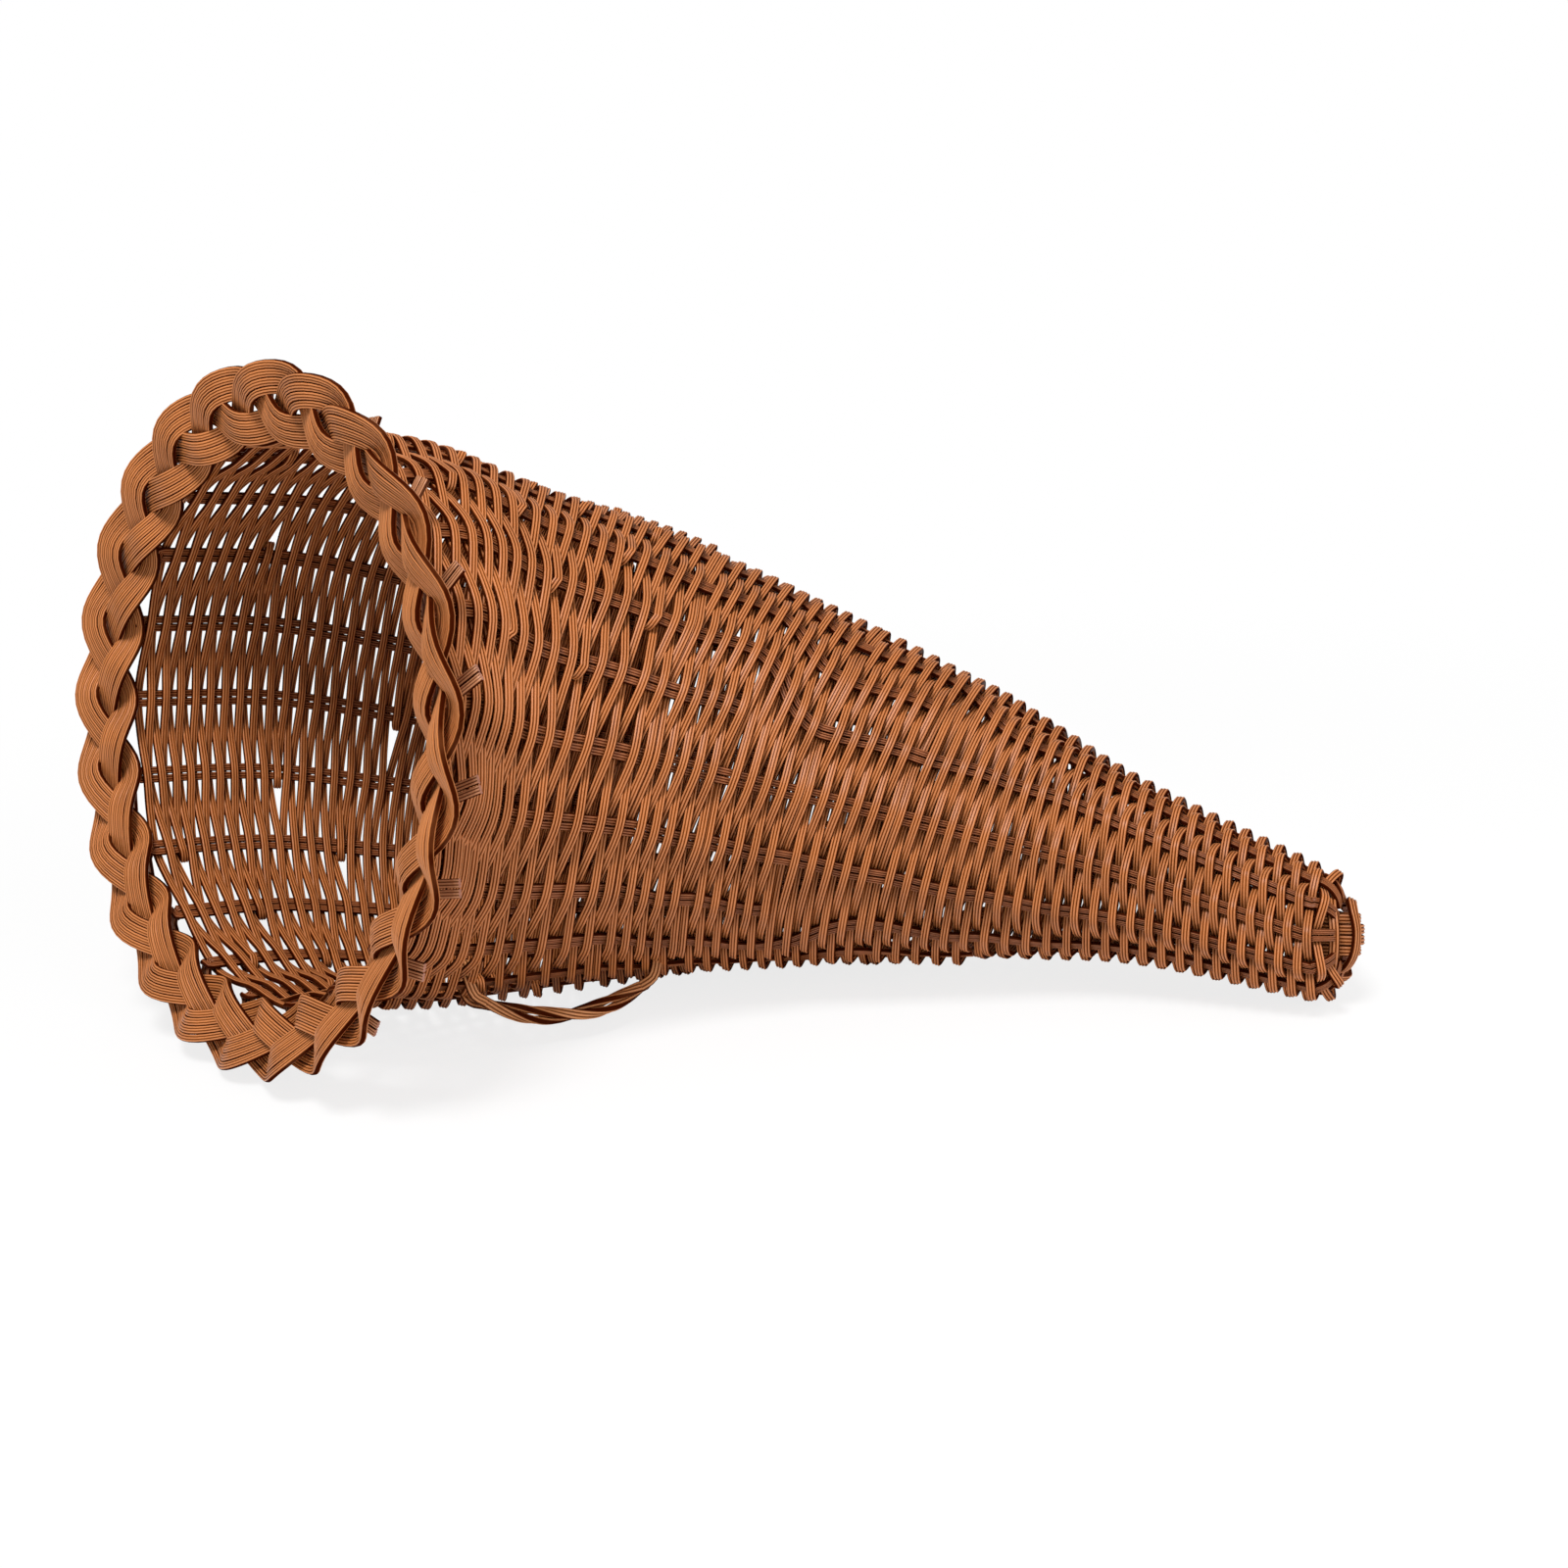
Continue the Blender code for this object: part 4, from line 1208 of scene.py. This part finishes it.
@dataclass(frozen=True)
class Studio:
    """The floor, the light and the camera, which is placed in the horn's own frame."""

    horn: HornShape
    focal_pixels: float = 2005.0
    picture_pixels: float = 1600.0
    sensor: float = 36.0
    near_clip: float = 0.01
    camera_place: Triple = (131.6 * MM, -484.0 * MM, -15.0 * MM)
    floor_half: float = 6.0
    floor_tone: Colour = (0.95, 0.95, 0.95, 1.0)
    floor_fade: tuple[float, float] = (0.12, 0.5)
    floor_white: tuple[float, float] = (0.8, 1.0)
    world_tone: Colour = (1.0, 0.99, 0.98, 1.0)
    world_strength: float = 0.37
    white: Colour = (1.0, 1.0, 1.0, 1.0)
    aim: Triple = (0.0, 0.0, 0.07)
    lamps: tuple[tuple[str, Triple, float, float], ...] = (
        ("key", (-0.15, -0.62, 1.3), 0.4, 16.0), ("fill", (0.8, -0.7, 0.6), 0.8, 3.5))

    def build_camera(self) -> None:
        """The photograph's camera: level with the horn's own axes, looking along their +Y."""
        data = bpy.data.cameras.new("photograph")
        data.sensor_width = self.sensor
        data.lens = self.focal_pixels / self.picture_pixels * self.sensor
        data.clip_start = self.near_clip
        camera = bpy.data.objects.new("photograph", data)
        bpy.context.scene.collection.objects.link(camera)
        turn = Matrix.Rotation(self.horn.rest_roll, 3, "X") @ Matrix.Rotation(self.horn.rest_tip, 3, "Y")
        upright = Matrix.Rotation(math.pi / 2, 3, "X")
        place = Vector(self.horn.laid_down(np.array(self.camera_place)))
        camera.matrix_world = Matrix.Translation(place) @ (turn @ upright).to_4x4()
        bpy.context.scene.camera = camera

    def build_floor(self) -> None:
        """A wide white floor. The camera sees it as part lit, part plain white: the white share grows
        from the first of floor_white to the last, at the distances in floor_fade."""
        mesh = bpy.data.meshes.new("floor")
        half = self.floor_half
        mesh.from_pydata([(-half, -half, 0), (half, -half, 0), (half, half, 0), (-half, half, 0)], [],
                         [(0, 1, 2, 3)])
        floor = bpy.data.objects.new("floor", mesh)
        bpy.context.scene.collection.objects.link(floor)
        material = bpy.data.materials.new("floor")
        material.use_nodes = True
        tree = material.node_tree
        tree.nodes.clear()
        wires = Wiring(tree)
        far = tree.nodes.new("ShaderNodeVectorMath")
        far.operation = "LENGTH"
        wires.feed(far.inputs[0], wires.add("ShaderNodeTexCoord", "Object"))
        fade = tree.nodes.new("ShaderNodeMapRange")
        fade.interpolation_type = "SMOOTHSTEP"
        for name, value in zip(("Value", "From Min", "From Max", "To Min", "To Max"),
                               (far.outputs["Value"], *self.floor_fade, *self.floor_white)):
            wires.feed(fade.inputs[name], value)
        camera_ray = wires.add("ShaderNodeLightPath", "Is Camera Ray")
        seen = wires.math("MULTIPLY", camera_ray, fade.outputs["Result"])
        plain = wires.add("ShaderNodeBsdfDiffuse", Color=self.floor_tone)
        white = wires.add("ShaderNodeEmission", Strength=1.0)
        end = tree.nodes.new("ShaderNodeOutputMaterial")
        wires.feed(end.inputs["Surface"], wires.blended(seen, plain, white))
        mesh.materials.append(material)

    def build_world(self) -> None:
        """Soft light from all round, with a white background behind the floor."""
        world = bpy.data.worlds.new("studio")
        bpy.context.scene.world = world
        world.use_nodes = True
        tree = world.node_tree
        wires = Wiring(tree)
        light = tree.nodes["Background"]
        wires.feed(light.inputs["Color"], self.world_tone)
        wires.feed(light.inputs["Strength"], self.world_strength)
        seen = wires.add("ShaderNodeLightPath", "Is Camera Ray")
        white = wires.add("ShaderNodeBackground", Color=self.white)
        shown = wires.blended(seen, light.outputs[0], white)
        wires.feed(tree.nodes["World Output"].inputs["Surface"], shown)

    def add_lamp(self, name: str, place: Triple, size: float, power: float) -> None:
        """One square area lamp that points at the basket's middle.

        Args:
            name: The lamp's name.
            place: Where it stands.
            size: The length of its side.
            power: Its power in watts.
        """
        data = bpy.data.lights.new(name, "AREA")
        data.size = size
        data.energy = power
        lamp = bpy.data.objects.new(name, data)
        bpy.context.scene.collection.objects.link(lamp)
        aim = Vector(self.aim) - Vector(place)
        lamp.matrix_world = Matrix.Translation(place) @ aim.to_track_quat("-Z", "Y").to_matrix().to_4x4()

    def build(self) -> None:
        """Sets the whole stage."""
        scene = bpy.context.scene
        scene.view_settings.view_transform = "Standard"
        self.build_camera()
        self.build_floor()
        self.build_world()
        for lamp in self.lamps:
            self.add_lamp(*lamp)
        log.info("stage set")


def main() -> None:
    """Builds the basket in order."""
    logging.basicConfig(level=logging.INFO, format="%(message)s")
    horn = HornShape()
    shop = Workshop(horn, RibbedSection(), CutEndFinish().build())
    Studio(horn).build()
    # Painted shade: the stakes' rib colour is darker than the weavers' to stand for the shade they lie in
    # between the weavers; pale_end mixes their first metres, the stubs behind the border, back towards the
    # pale highlight colour.
    stake = StrandFinish("stake_plastic", rib=(0.31, 0.075, 0.013, 1.0), highlight_amount=0.35, pale_end=0.016)
    weaver = StrandFinish("weaver_plastic")
    border = StrandFinish("border_plastic", rib=(0.66, 0.21, 0.048, 1.0), highlight_amount=0.45)
    tail = StrandFinish("tail_plastic", rib=(0.52, 0.155, 0.032, 1.0))
    loop = StrandFinish("loop_plastic", rib=(0.64, 0.25, 0.08, 1.0))
    parts = ((Stakes, stake), (Weave, weaver), (Border, border), (Tail, tail), (HangingLoop, loop))
    for part, finish in parts:
        part(shop, finish.build()).build()


if __name__ == "__main__":
    main()
